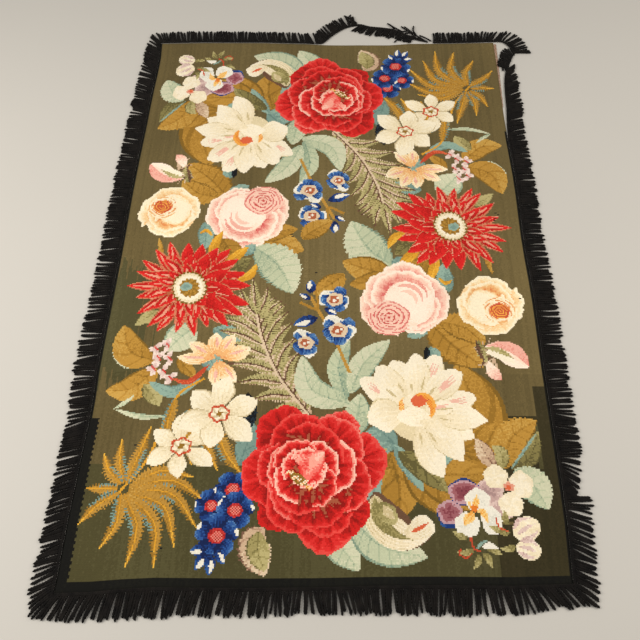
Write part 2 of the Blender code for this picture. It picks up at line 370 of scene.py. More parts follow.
def disc(chart, spot, x, y, across, up, family, tone, wobble=0.0, lobes=5, inside=0.0):
    """A filled oval, or a ring where inside is above 0. tone(r, angle) gives its shades."""
    place = spot.inner(x, y)
    big = max(across, up) * spot.size * (1 + wobble)
    rows, columns = window((place.x - big, place.y - big), (place.x + big, place.y + big))
    gx, gy = np.meshgrid(X[columns] - place.x, Y[rows] - place.y)
    a = math.radians(-place.turn)
    lx = (gx * math.cos(a) - gy * math.sin(a)) / (across * spot.size)
    ly = (gx * math.sin(a) + gy * math.cos(a)) / (up * spot.size)
    angle = np.arctan2(ly, lx)
    radius = np.hypot(lx, ly) / (1 + wobble * np.sin(lobes * angle))
    work(
        chart, rows, columns, (radius < 1) & (radius >= inside), family,
        tone(radius, angle) + np.zeros_like(radius),
    )


def flat(value):
    return lambda s, v: value


def checks(r):
    """Every other stitch, as on a chess board."""
    return np.indices(r.shape).sum(0) % 2


def petal_tone(low, high, seed=0.0, rim=0.0, streak=0.12, lines=9.0, lean=0.0):
    """Dark in the throat and light at the rim, with long hatched streaks."""

    def tone(s, v):
        lit = low + (high - low) * np.clip(s, 0, 1) ** 1.2 + lean * v
        lit = lit + streak * wave(v * 3, seed, lines) * np.sin(np.pi * np.clip(s, 0, 1))
        return lit + rim * (s > 0.91)

    return tone


def shading(middle, rim, seed):
    """A round petal's tone, from its middle to its rim, with a few soft folds."""
    return lambda r, a: middle + (rim - middle) * r**2 + 0.07 * np.sin(a * 4 + seed * 1.9 + r * 3)


def out_from(x, y, angle, start, end, bend=0.0):
    """A path out from a middle, which may bend to its left."""
    a = math.radians(angle)
    ux, uy = math.cos(a), math.sin(a)
    middle = (start + end) / 2
    return [
        (x + ux * start, y + uy * start),
        (x + ux * middle - uy * bend, y + uy * middle + ux * bend),
        (x + ux * end, y + uy * end),
    ]


def leaf_tone(low, high, veins, fold):
    """Herringbone veins and a midrib in a darker shade, with one half of the leaf lighter."""

    def tone(s, v):
        vein = (s * veins - np.abs(v) * 0.8) % 1.0 < 0.16
        midrib = np.abs(v) < 0.07
        rim = v < -0.86
        return low + (high - low) * s + fold * (v > 0) - 0.22 * vein - 0.24 * midrib - 0.5 * rim

    return tone


def stem(chart, spot, path, width, family="gold", tone=0.5):
    blade(chart, spot, path, width, stalk, family, flat(tone))


def shell(chart, spot, edge, depth, low, high, rim=None, family="peony", seed=0.0, folds=0.11):
    """A petal that hangs from its lit edge, which runs clockwise. Its folds darken inwards."""
    rows, columns, share, across = along(spot, edge, (depth + 10) * spot.size)
    if share.size == 0:
        return
    inward = 3.4 * wave(share * 9, seed, 2.1) - across / spot.size
    q = np.clip(inward / depth, 0, 1)
    tone = high - (high - low) * q**0.85 + folds * wave(share * 9, seed, 3.3) * (0.5 + q)
    tone = tone - 0.22 * np.abs(2 * share - 1) ** 4
    if rim is not None:
        tone = np.where(inward < 4.4, rim, np.where(inward < 9, (rim + tone) / 2, tone))
    body = depth * np.sin(np.pi * np.clip(share, 0, 1)) ** 0.45
    work(chart, rows, columns, (share > 0) & (share < 1) & (inward > 0) & (inward < body), family, tone)


def arc(x, y, angle, spread, reach, curl, tall=1.0, tilt=0.0):
    """The edge of a petal: some degrees of an oval round (x, y), drawn in at its ends and tilted."""
    path = []
    for t in (-1, -0.5, 0, 0.5, 1):
        a = math.radians(angle - t * spread / 2)
        far = reach * (1 - curl * t * t + tilt * t)
        path.append((x + far * math.cos(a), y + far * tall * math.sin(a)))
    return path


def rings(chart, spot, table, family, seed, tall=1.0, folds=0.11):
    """Rings of lapped petals. A seeded draw sets each petal a little off in place, reach, depth and tone."""
    lot = np.random.default_rng(seed)
    for x, y, count, reach, turn, lap, curl, depth, low, high, rim in table:
        for number in lot.permutation(count):
            off, far, deep, pale, tilt = lot.uniform(-1, 1, 5)
            angle = turn + 360 * (number + 0.22 * off) / count
            spread = 360 / count * lap * (1 + 0.22 * deep)
            path = arc(
                x + 0.06 * reach * pale, y, angle, spread, reach * (1 + 0.09 * far), curl + 0.06 * off, tall,
                0.11 * tilt,
            )
            high_here = high + 0.12 * pale + 0.06 * math.cos(math.radians(angle - 60))
            rim_here = high_here + (rim - high) * (1 + 0.5 * off)
            shell(
                chart, spot, path, depth * (1 + 0.3 * deep), low, high_here, rim_here, family,
                lot.uniform(0, 40), folds,
            )


# Rings of the peony, from the outermost inwards. Columns: middle in mm, petals, reach, turn in degrees,
# lap, how far the ends draw in, depth in mm, tone at the foot, tone under the edge, tone of the edge.
PEONY_RINGS = (
    (0, 10, 7, 180, 20, 1.20, 0.26, 90, 0.10, 0.50, 0.54),
    (0, 10, 6, 150, 50, 1.30, 0.24, 80, 0.02, 0.54, 0.66),
    (-10, 10, 5, 118, 10, 1.40, 0.20, 60, 0.02, 0.56, 0.76),
    (-20, 10, 5, 88, 40, 1.35, 0.16, 44, 0.04, 0.68, 0.88),
)


def peony(chart, spot):
    """A full peony: ruffled petals curl round a pale heart, with the stamens to its left."""
    disc(chart, spot, 0, 0, 140, 140, "peony", lambda r, a: 0.16 + 0.10 * np.sin(a * 9))
    rings(chart, spot, PEONY_RINGS, "peony", 31, 1.06, 0.16)
    for number in range(5):
        edge = arc(-20, 20, 150 - 64 * number, 110, 64 - 5 * number, 0.12)
        shell(chart, spot, edge, 34, 0.24, 0.82, 0.92, "peony", number * 2.7, 0.14)
    blade(
        chart, spot, out_from(-10, 10, 60, -20, 70, 10), 60, oval, "peony",
        lambda s, v: 0.72 + 0.24 * s - 0.3 * v**2,
    )
    blade(chart, spot, out_from(-20, 20, 130, 0, 50, -10), 30, blunt, "peony", petal_tone(0.60, 0.90, 3.0))
    blade(
        chart, spot, out_from(-40, 0, 325, -30, 30), 24, blunt, "ochre", lambda s, v: 0.05 + 0.35 * checks(s)
    )
    for number in range(9):
        place = spot.inner(-70 + 7 * number, 12 - 5 * number + 5 * math.sin(number * 2.3), 30)
        colour = "flame" if number > 6 else "apricot"
        blade(chart, place, [(0, 0), (8, 1), (16, 0)], 7, lance, colour, lambda s, v: 0.35 + 0.6 * checks(s))


def lily(chart, spot):
    """A white water lily: eleven petals in a fan, and a flame crescent round its heart."""
    disc(chart, spot, 0, -10, 70, 70, "lily", flat(0.45))
    lot = np.random.default_rng(12)
    fan = [(-70 + 22 * number, 172, 74, 0.50) for number in (0, 10, 2, 8, 4, 1, 9, 6, 3, 7, 5)]
    fan += [(145, 112, 76, 0.58), (195, 118, 96, 0.48), (10, 108, 44, 0.60)]
    for row, (angle, reach, width, low) in enumerate(fan):
        angle, reach = angle + 4 * lot.uniform(-1, 1), reach * (1 + 0.07 * lot.uniform(-1, 1))
        path = out_from(0, 0, angle, 26, reach, 8 * lot.uniform(-1, 1))
        blade(
            chart, spot, path, width, blunt, "lily",
            petal_tone(low + 0.08, 1.0, row * 2.1, 0.0, 0.09, 6, 0.10), 0.03, seed=row,
        )
        blade(chart, spot, path, width, blunt, "lily", flat(0.36), 0.03, seed=row, only=(-1, -0.93))
        for line in range(3 if row % 3 == 1 else 0):
            run = out_from(0, 0, angle + 3 * (line - 1), 0.5 * reach, 0.86 * reach)
            blade(chart, spot, run, 6, lance, "blush", flat(0.5))
    for number in range(11):
        fold = out_from(0, 0, -81 + 22 * number, 58, 96 + 12 * math.sin(number * 2.1))
        blade(chart, spot, fold, 7, lance, "lily", flat(0.30))
    blade(
        chart, spot, arc(6, 10, 20, 150, 40, 0.0), 22, lance, "flame",
        lambda s, v: 0.62 - 0.3 * checks(s) * (v < 0.2),
    )
    blade(chart, spot, arc(0, 20, 180, 80, 36, 0.0), 14, lance, "flame", lambda s, v: 0.8 - 0.3 * checks(s))
    disc(chart, spot, -10, 30, 16, 18, "lily", flat(0.8))
    disc(chart, spot, 10, 30, 20, 16, "coral", flat(0.7), 0.08, 7)
    blade(
        chart, spot, out_from(0, -20, 175, -40, 50, -6), 56, oval, "lily", petal_tone(0.8, 1.0, 1.0, 0, 0.1)
    )
    blade(
        chart, spot, out_from(0, -20, -35, 10, 90, 10), 40, blunt, "lily", petal_tone(0.6, 0.9, 2.0, 0, 0.1)
    )


# Rings of the rose and of the cream rose, as the peony's.
ROSE_RINGS = (
    (0, 0, 5, 122, 10, 1.25, 0.16, 56, 0.08, 0.92, 0.99),
    (0, 0, 4, 100, 60, 1.30, 0.14, 46, 0.12, 0.88, 0.98),
)
CREAM_RINGS = (
    (0, 0, 4, 92, 0, 1.30, 0.12, 50, 0.34, 0.94, 0.99),
    (0, 0, 3, 72, 40, 1.40, 0.10, 30, 0.22, 0.84, 0.96),
)


def whorled(turns, lean, low, high):
    """Thin petals curled round one another, closer together to one side."""

    def tone(r, a):
        ring = (r * turns * (1 + 0.22 * np.cos(a - lean)) + 0.08 * np.sin(a * 3)) % 1.0
        gap = np.sin(a * 3 + np.floor(r * turns) * 2.4) > -0.75
        return high - (high - low) * (ring < 0.40) * gap * (1.1 - 0.35 * r) - 0.10 * (1 - r)

    return tone


def rose(chart, spot):
    """A cabbage rose: broad outer petals and a tight whorl of thin ones, which sits low on one side."""
    disc(chart, spot, 0, 0, 92, 92, "rose", flat(0.5))
    rings(chart, spot, ROSE_RINGS, "rose", 5, 1.0, 0.07)
    disc(chart, spot, 10, -10, 72, 74, "rose", lambda r, a: 0.97 - 0.14 * r**3 + 0.03 * np.sin(a * 5))
    for number in range(3):
        blade(
            chart, spot, arc(-10, -10, 60 - 10 * number, 110, 82 - 20 * number, 0.1), 14, lance, "rose",
            flat(0.42 + 0.1 * number),
        )
    disc(chart, spot, -50, -60, 60, 55, "rose", whorled(5.4, 3.9, 0.16, 0.66), 0.03, 5)


def cream_rose(chart, spot):
    """A smaller rose in cream and apricot, with its flame-red heart to one side."""
    disc(chart, spot, 0, 0, 78, 80, "apricot", flat(0.6))
    rings(chart, spot, CREAM_RINGS, "apricot", 16, 1.04, 0.08)
    disc(chart, spot, -10, -10, 48, 54, "apricot", lambda r, a: 0.99 - 0.2 * r**3 + 0.03 * np.sin(a * 4))
    disc(chart, spot, 30, -20, 44, 42, "apricot", whorled(4.0, 1.2, 0.24, 0.86), 0.03, 5)
    disc(chart, spot, 32, -24, 28, 26, "coral", flat(0.8), 0.05, 5)
    disc(
        chart, spot, 32, -24, 26, 24, "flame",
        lambda r, a: 0.1 + 0.5 * ((r * 3.2 + 0.2 * np.sin(a * 2)) % 1.0 < 0.4), 0.05, 5,
    )


def dahlia(chart, spot):
    """A pointed red dahlia, each petal edged in a dusty rose, round a toothed cream eye."""
    disc(chart, spot, 0, -6, 112, 110, "brick_rose", lambda r, a: 0.12 + 0.12 * np.sin(a * 21), 0.04, 11)
    lot = np.random.default_rng(22)
    for count, reach, width, turn in ((22, 168, 40, 0), (17, 126, 42, 8), (13, 92, 38, 0)):
        for number in lot.permutation(count):
            off, far, bend = lot.uniform(-1, 1, 3)
            angle = turn + 360 * number / count + 0.2 * 360 / count * off
            far = reach * (1 + 0.12 * far)
            path = out_from(0, 0, angle, 22, far, 8 * bend)
            right = math.cos(math.radians(angle - 20)) > 0.1
            outline = dart if right else spoon
            wide = width * (1.15 if right else 0.95)
            blade(chart, spot, path, wide, outline, "brick_rose", petal_tone(0.0, 0.62, number, 0.0, 0.3))
            red = petal_tone(0.14, 0.70, number, 0.0, 0.20, 6, 0.14)
            blade(chart, spot, path, wide * (0.86 if right else 0.70), outline, "scarlet", red)
            if not right:
                blade(
                    chart, spot, out_from(0, 0, angle, far * 0.45, far - 18, 8 * bend), 8, lance,
                    "brick_rose", flat(0.9),
                )
            elif off > 0:
                blade(
                    chart, spot, out_from(0, 0, angle - 4, far * 0.5, far - 14), 5, lance, "brick_rose",
                    flat(0.75),
                )
    eye = spot.inner(0, -4, 20)
    disc(chart, eye, 0, 0, 50, 56, "ochre", flat(0.1), 0.04, 24)
    disc(
        chart, eye, 0, 0, 45, 51, "lily", lambda r, a: 0.55 + 0.45 * (r < 0.84) + 0.1 * np.sin(a * 24), 0.05,
        26,
    )
    disc(
        chart, eye, 0, 0, 28, 32, "ochre", lambda r, a: 0.30 + 0.3 * (np.sin(a * 9 + r * 6) > 0.2), 0.07, 13
    )
    disc(chart, eye, -8, 6, 17, 14, "teal", lambda r, a: 0.4 + 0.5 * r, 0.05, 5)


def narcissus(chart, spot, reach, width):
    """A cream narcissus with a frilled coral ring round its eye."""
    for number in (0, 2, 4, 1, 3, 5):
        angle = 60 * number + 20
        length = reach * (1 + 0.10 * math.sin(number * 2.9))
        path = out_from(0, 0, angle, 8, length, 6 * math.sin(number * 1.3))
        blade(
            chart, spot, path, width, spoon, "narcissus",
            petal_tone(0.40, 1.05, number * 3.1, 0.0, 0.16, 5, 0.10),
        )
        blade(chart, spot, path, width, spoon, "narcissus", flat(0.05), only=(-1, -0.86))
    disc(chart, spot, 0, 0, 27, 24, "coral", flat(0.4), 0.10, 6)
    disc(chart, spot, 0, 0, 21, 18, "narcissus", lambda r, a: 0.55 + 0.5 * np.sin(a * 5 + r * 5), 0.10, 6)
    disc(chart, spot, 0, 0, 8, 7, "ochre", flat(0.3), 0.2, 4)


def side_blossom(chart, spot):
    """A blossom seen from the side, cream with blush tips."""
    petals = (
        (150, 74, 32), (178, 84, 30), (95, 62, 36), (60, 66, 34), (20, 74, 40), (310, 70, 34), (270, 64, 30),
    )
    for number, (angle, length, width) in enumerate(petals):
        path = out_from(0, 0, angle, 4, length, 4 * math.sin(number))
        blade(chart, spot, path, width, spoon, "apricot", petal_tone(0.34, 0.9, number, 0.0, 0.16, 5))
        blade(chart, spot, out_from(0, 0, angle, 26, length - 8, 0), 7, lance, "blush", flat(0.4))


def blue_flower(chart, spot, radius):
    """A blue auricula: five notched petals with white tips round a red eye checked with white."""
    for number in range(5):
        path = out_from(0, 0, 72 * number + 18, radius * 0.2, radius * 1.15, 0)
        blade(
            chart, spot, path, radius * 1.05, rounded, "blue",
            petal_tone(0.0, 0.55, number * 2.0, 0.0, 0.14, 7, 0.22),
        )
    for number in (0, 2):
        blade(
            chart, spot, out_from(0, 0, 72 * number + 10, radius * 0.98, radius * 1.18), radius * 0.42, oval,
            "white", flat(0.8),
        )
    disc(chart, spot, 0, 0, radius * 0.46, radius * 0.42, "berry", flat(0.35))
    disc(chart, spot, 1, -1, radius * 0.32, radius * 0.28, "berry", lambda r, a: 0.35 + 0.6 * checks(r), 0.0)


def bell(chart, spot, reach, width):
    """A small bud with white lips on blue."""
    blade(
        chart, spot, [(0, 0), (reach * 0.5, 0), (reach, 0)], width, oval, "blue", petal_tone(0.1, 0.6, 1.0)
    )
    blade(
        chart, spot, [(reach * 0.3, width * 0.12), (reach * 0.7, width * 0.14), (reach, 0)], width * 0.45,
        lance, "white", flat(0.8),
    )


def orchid(chart, spot, size=1.0):
    """An orchid-like flower: white-edged blue petals and a spotted brown lip."""
    s = spot.inner(0, 0, 0, size)
    lot = np.random.default_rng(int(100 * size))
    for number, (angle, length, width) in enumerate(
        ((90, 34, 30), (30, 40, 30), (150, 40, 30), (215, 38, 34), (325, 38, 34), (270, 40, 30))
    ):
        off, far, wide = lot.uniform(-1, 1, 3)
        angle, length, width = angle + 12 * off, length * (1 + 0.2 * far), width * (1 + 0.25 * wide)
        path = out_from(0, 0, angle, 4, length, 5 * off)
        if number % 2 == 0:
            blade(chart, s, path, width * 1.1, rounded, "white", petal_tone(0.4, 0.9, number, 0, 0.3))
        blade(
            chart, s, out_from(0, 0, angle + 8, 4, length - 4, 0), width * (0.7 if number % 2 == 0 else 1.0),
            rounded, "blue", petal_tone(0.1, 0.75, number * 1.9, 0, 0.3, 7, 0.15),
        )
    disc(chart, s, 0, 0, 20, 18, "leaf_pink", flat(0.9), 0.06, 5)
    disc(chart, s, -2, 0, 12, 11, "brick_rose", flat(0.1), 0.1, 4)
    disc(chart, s, -3, -2, 4, 4, "white", flat(0.9))
    disc(chart, s, 6, 2, 3, 3, "white", flat(0.9))


def frond(chart, spot, path, width, count):
    """A toothed fern frond in slanted rows of ochre, with teal near its foot and a gold rib."""
    teeth = (count, 0.55, 1.0)

    def rows(s, v):
        return 0.46 + 0.17 * np.sin(2 * np.pi * (s * count - np.abs(v))) + 0.16 * (v > 0) - 0.1 * s

    blade(chart, spot, path, width, sickle, "ochre", rows, 0.0, teeth)
    blade(
        chart, spot, path, width, lambda s: sickle(s) * (s < 0.6), "teal", petal_tone(0.2, 0.7, 2.0), 0.0,
        teeth, only=(-1, -0.62),
    )
    blade(chart, spot, path, 3.4, stalk, "gold", lambda s, v: 0.15 + 0.6 * s)


def feather(chart, spot, path, width, count):
    """A frond of the green fern: olive leaflets on one side of a brown rib, tan ones on the other."""

    def leaflets(low, high):
        return lambda s, v: low + (high - low) * (np.sin(2 * np.pi * (s * count - 1.2 * np.abs(v))) > -0.3)

    teeth = (count, 0.32, 1.2)
    blade(chart, spot, path, width, sickle, "leaf_pink", leaflets(0.45, 0.95), 0.0, teeth)
    blade(chart, spot, path, width, sickle, "fern_green", leaflets(0.30, 0.90), 0.0, teeth, only=(-1, -0.1))
    blade(
        chart, spot, path, width, sickle, "fern_green", leaflets(0.60, 0.70), 0.0, teeth, only=(0.45, 0.85)
    )
    blade(chart, spot, path, 4.2, stalk, "fern_brown", flat(0.6))


def ochre_fern(chart, spot):
    """A fan of ochre fronds round one hub, longest to the lower right, and four more on its stalk."""
    stem(chart, spot, [(-310, -400), (-380, -460), (-430, -620), (-490, -710)], 6.5, "gold", 0.5)
    for number, angle in enumerate((74, 100, 126, 180, 222, 10, -8, -26, -44, -62, -80, -104)):
        turn = math.radians(angle + 35)
        stretch = max(0.0, math.cos(turn))
        reach = 120 + 90 * stretch + 12 * math.sin(number * 2.2) + 50 * (angle == 74) - 30 * (angle == 180)
        bend = 42 * math.cos(turn) if angle < 60 else 10 * math.sin(number)
        path = out_from(-480, -700, angle, 14, reach, bend)
        frond(chart, spot, path, 30 + 0.08 * reach, reach / 8.5)
    for number in range(4):
        path = out_from(-260 - 40 * number, -550 + 30 * number, 302 - 12 * number, 0, 130 + 10 * number, -8)
        frond(chart, spot, path, 50 - 3 * number, 16)


def green_fern(chart, spot):
    """A tall pinnate fern: fronds in pairs along a bent stalk, with pale wool between their feet."""
    points = [(-20, -510), (-110, -390), (-160, -280), (-180, -200)]
    line = curve(points)
    blade(chart, spot, points, 78, oval, "leaf_pink", petal_tone(0.75, 0.9, 1.0))
    for number in range(9):
        share = 0.08 + 0.105 * number
        x, y = line[int(share * (len(line) - 1))]
        nx, ny = line[int(share * (len(line) - 1)) + 3]
        heading = math.degrees(math.atan2(ny - y, nx - x))
        for side, reach in (
            (1, 86 + 54 * math.sin(math.pi * share**1.1)), (-1, 70 + 54 * math.sin(math.pi * share**1.3))
        ):
            path = out_from(x, y, heading + side * (62 - 20 * share), 4, reach, -side * 10)
            feather(chart, spot, path, 44, reach / 8.5)
    for turn, reach in ((-24, 100), (0, 130), (22, 110)):
        feather(chart, spot, out_from(-180, -206, 98 + turn, 0, reach, 0.3 * turn), 36, reach / 8.5)
    stem(chart, spot, points, 9, "leaf_pink", 0.9)
    blade(chart, spot, [(x + 4, y + 1) for x, y in points], 3.8, stalk, "fern_brown", flat(0.7))


# Leaves behind the flowers. Columns: path, width, family, low and high tone, veins, teeth, fold.
SAW = (14, 0.16, 0.5)
LEAVES = (
    (((300, -600), (380, -560), (400, -470), (370, -350)), 176, "ochre", 0.45, 0.65, 1, None, 0.10),
    (((330, -590), (410, -590), (460, -520)), 110, "ochre", 0.40, 0.58, 1, None, 0.05),
    (((230, -600), (300, -660), (420, -650)), 120, "ochre", 0.40, 0.62, 3, None, 0.10),
    (((180, -600), (200, -680), (200, -770)), 110, "ochre", 0.35, 0.60, 3, None, 0.15),
    (((220, -610), (290, -690), (330, -770)), 120, "ochre", 0.50, 0.60, 3, None, 0.12),
    (((240, -600), (330, -690), (400, -740)), 110, "ochre", 0.40, 0.66, 3, None, 0.12),
    (((180, -640), (140, -660), (110, -680)), 50, "ochre", 0.50, 0.60, 3, None, 0.12),
    (((200, -580), (170, -570), (110, -560)), 90, "teal", 0.40, 0.80, 1, None, 0.20),
    (((150, -600), (120, -700), (140, -790)), 70, "teal", 0.40, 0.80, 1, None, 0.20),
    (((190, -580), (230, -640), (260, -700)), 46, "teal", 0.50, 0.90, 1, SAW, 0.20),
    (((250, -580), (300, -620), (340, -610)), 40, "teal", 0.50, 0.90, 1, SAW, 0.20),
    (((300, -220), (360, -290), (440, -360)), 120, "ochre", 0.45, 0.70, 7, SAW, 0.12),
    (((330, -220), (400, -240), (450, -290)), 90, "ochre", 0.55, 0.70, 6, SAW, 0.12),
    (((460, -640), (490, -560), (560, -510)), 96, "ochre", 0.60, 0.75, 7, SAW, 0.10),
    (((480, -640), (530, -610), (560, -540)), 46, "fern_green", 0.10, 0.50, 6, SAW, 0.10),
    (((480, -640), (520, -590), (560, -540)), 8, "teal", 0.60, 0.90, 1, SAW, 0.10),
    (((490, -640), (530, -680), (560, -740)), 92, "sage", 0.55, 0.80, 7, SAW, 0.18),
    (((440, -640), (420, -600), (400, -560)), 46, "leaf_pink", 0.40, 0.80, 6, SAW, 0.15),
    (((460, -640), (460, -600), (440, -580)), 40, "fern_green", 0.50, 0.95, 5, SAW, 0.15),
    (((90, -560), (100, -500), (110, -440)), 70, "sage", 0.50, 0.70, 6, None, 0.14),
    (((80, -470), (-20, -430), (-50, -330)), 76, "sage", 0.62, 0.86, 8, None, 0.14),
    (((70, -460), (50, -360), (80, -280)), 60, "sage", 0.30, 0.60, 8, None, 0.22),
    (((80, -440), (120, -350), (190, -280)), 70, "sage", 0.60, 0.86, 8, None, 0.14),
    (((20, -770), (50, -820), (100, -890)), 84, "sage", 0.55, 0.85, 7, None, 0.18),
    (((80, -760), (150, -830), (260, -860)), 92, "sage", 0.55, 0.85, 9, None, 0.16),
    (((-200, 30), (-130, -30), (-80, -130)), 136, "sage", 0.50, 0.80, 8, SAW, 0.20),
    (((-460, -340), (-520, -350), (-570, -320)), 48, "sage", 0.60, 0.90, 5, SAW, 0.16),
    (((-350, -240), (-390, -280), (-420, -320)), 90, "sage", 0.65, 0.90, 5, None, 0.12),
    (((-300, -250), (-250, -270), (-220, -310)), 60, "teal", 0.40, 0.80, 5, SAW, 0.20),
    (((-330, -300), (-300, -340), (-260, -400)), 60, "teal", 0.40, 0.80, 3, SAW, 0.20),
    (((-450, -350), (-520, -320), (-550, -240)), 88, "ochre", 0.50, 0.75, 5, None, 0.14),
    (((-440, -370), (-500, -430), (-570, -440)), 76, "ochre", 0.55, 0.80, 5, None, 0.14),
    (((-420, -210), (-480, -210), (-520, -240)), 46, "fern_green", 0.55, 0.95, 5, SAW, 0.20),
    (((-470, -420), (-440, -450), (-420, -480)), 50, "fern_green", 0.40, 0.90, 4, None, 0.30),
    (((-380, -330), (-370, -360), (-330, -400)), 36, "ochre", 0.40, 0.70, 3, None, 0.14),
    (((-130, -790), (-150, -830), (-120, -900)), 84, "leaf_pink", 0.55, 0.85, 5, SAW, 0.10),
    (((-140, -800), (-140, -840), (-120, -890)), 60, "fern_green", 0.50, 0.90, 5, SAW, 0.10),
    (((-190, -560), (-170, -600), (-200, -640)), 50, "teal", 0.40, 0.70, 3, None, 0.20),
    (((-60, 60), (-30, 90), (30, 130)), 70, "ochre", 0.45, 0.75, 5, SAW, 0.14),
    (((300, -300), (310, -330), (320, -350)), 40, "teal", 0.40, 0.80, 3, None, 0.20),
    (((290, -300), (290, -320), (290, -350)), 22, "night", 0.20, 0.40, 3, SAW, 0.20),
    (((-360, 120), (-350, 70), (-350, 20)), 52, "teal", 0.40, 0.80, 6, SAW, 0.20),
    (((-300, 60), (-270, 10), (-260, -40)), 70, "ochre", 0.30, 0.60, 4, None, 0.10),
    (((-300, -60), (-250, -40), (-210, -10)), 60, "fern_green", 0.05, 0.40, 4, None, 0.10),
    (((-230, 0), (-210, 30), (-200, 40)), 40, "teal", 0.40, 0.90, 3, SAW, 0.20),
    (((-330, -20), (-320, 40), (-300, 90)), 30, "gold", 0.10, 0.60, 1, None, 0.30),
    (((-280, -30), (-250, 0), (-220, 30)), 32, "gold", 0.10, 0.60, 1, None, 0.30),
    (((-250, -90), (-210, -70), (-190, -30)), 27, "gold", 0.30, 0.70, 1, None, 0.30),
    (((-370, 80), (-350, 90), (-330, 70)), 12, "gold", 0.40, 0.70, 1, None, 0.10),
    (((-470, -20), (-480, 20), (-490, 60)), 16, "ochre", 0.40, 0.80, 1, None, 0.20),
    (((210, -70), (140, -50), (60, -20)), 92, "ochre", 0.50, 0.75, 5, None, 0.12),
    (((200, -60), (140, -90), (80, -100)), 60, "ochre", 0.40, 0.60, 4, None, 0.12),
    (((300, -220), (270, -250), (240, -270)), 50, "teal", 0.40, 0.80, 5, SAW, 0.20),
    (((-320, -400), (-390, -440), (-460, -410)), 34, "teal", 0.50, 0.95, 3, None, 0.20),
    (((-400, -510), (-470, -510), (-540, -490)), 15, "sage", 0.60, 0.90, 1, None, 0.10),
    (((-540, -490), (-510, -470), (-490, -450)), 12, "sage", 0.60, 0.90, 1, None, 0.10),
    (((-300, -360), (-350, -410), (-400, -400)), 16, "coral", 0.20, 0.60, 1, None, 0.10),
    (((200, -600), (260, -640), (320, -700)), 60, "fern_green", 0.10, 0.50, 4, None, 0.10),
    (((-200, -640), (-180, -560), (-200, -500)), 60, "teal", 0.30, 0.70, 4, SAW, 0.10),
    (((-190, -440), (-180, -500), (-190, -560)), 40, "night", 0.20, 0.60, 3, SAW, 0.10),
)


def leaves(chart, spot, rows=LEAVES):
    for path, width, family, low, high, veins, teeth, fold in rows:
        blade(chart, spot, path, width, oval, family, leaf_tone(low, high, veins, fold), 0.0, teeth)


def ground(chart):
    """The olive ground, worked in upright rows from several dyeings of the wool."""
    x, y = np.meshgrid(X, Y)
    rows = np.arange(ROWS)
    streak = chance.uniform(-1, 1, COLUMNS)
    streak = 0.6 * streak + 0.4 * np.roll(streak, 1)
    tone = 0.55 + 0.16 * streak + 0.10 * np.sin(x / 70 + 1.5 * np.sin(y / 160)) + 0.10 * np.sin(y / 230 + 2)
    # The tone is lighter in the middle and darker towards the bottom and the sides.
    tone = tone + 0.12 * (np.abs(x) < 210) * (np.abs(y) < 330) - 0.14 * (y < -380) - 0.1 * (np.abs(x) > 480)
    everywhere = slice(0, ROWS), slice(0, COLUMNS)
    work(chart, *everywhere, np.ones_like(x, bool), "olive", tone)
    jag = 4 * STITCH * ((rows[:, None] // 2 + np.zeros_like(x, int)) % 2)
    drift = 60 * streak + np.zeros_like(x)
    moss = (x < -486 + drift) & (y < -60 + drift) & (y > -420 + drift)
    moss |= (x > 552) & (y < -520) & (y > -640)
    moss |= (y < -640) & (x < 430)
    work(chart, *everywhere, moss, "moss", tone)
    dark = (x > 456 + jag) & (y < -500) & (y > -905) & ~((x > 552) & (y < -520) & (y > -640))
    dark |= (x > 430) & (y < -780) & (y > -905)
    dark |= (x > 562) & (y < -415)
    work(chart, *everywhere, dark, "dark_olive", tone)
    band = (y < -906) | (x < -593) | ((x > 593) & (y < 500)) | ((x < -572 - jag / 3) & (y < -516))
    work(chart, *everywhere, band, "black_green", tone)


def rosebud(chart, spot):
    """A pink bud and a smaller one beneath it, in green sepals with mossy hairs."""
    for angle, length in ((210, 55), (240, 60), (260, 65), (120, 50), (150, 60), (95, 50), (70, 45)):
        blade(chart, spot, out_from(-26, 4, angle, 4, length, 8), 7, lance, "leaf_pink", flat(0.7))
    for angle, length in ((225, 50), (110, 45), (140, 50)):
        blade(chart, spot, out_from(-26, 4, angle, 4, length, -6), 8, lance, "fern_brown", flat(0.7))
    blade(chart, spot, [(-40, -10), (-35, -35), (-15, -60)], 30, blunt, "rose", petal_tone(0.95, 0.45, 3.0))
    blade(
        chart, spot, [(-45, 30), (5, 15), (55, -25)], 62, blunt, "rose",
        lambda s, v: 0.95 - 0.35 * (v > 0.1) - 0.2 * s * (v > -0.2),
    )
    blade(chart, spot, [(-20, 35), (20, 20), (50, -15)], 16, lance, "rose", flat(0.45))
    blade(chart, spot, [(-45, 15), (-10, 5), (30, -20)], 20, lance, "lily", flat(0.95))
    blade(
        chart, spot, [(-45, 25), (-15, 20), (25, -5)], 18, lance, "fern_green", petal_tone(0.95, 0.6, 1.0),
        0, (8, 0.5, 1),
    )
    blade(
        chart, spot, [(-60, 45), (-55, 15), (-45, -15)], 30, oval, "fern_green",
        petal_tone(0.4, 0.9, 1.0, 0, 0.3), 0, (8, 0.5, 1),
    )
    blade(
        chart, spot, [(-65, 45), (-60, 15), (-50, -15)], 16, oval, "fern_brown", petal_tone(0.4, 0.9, 1.0),
        0, (10, 0.7, 1),
    )


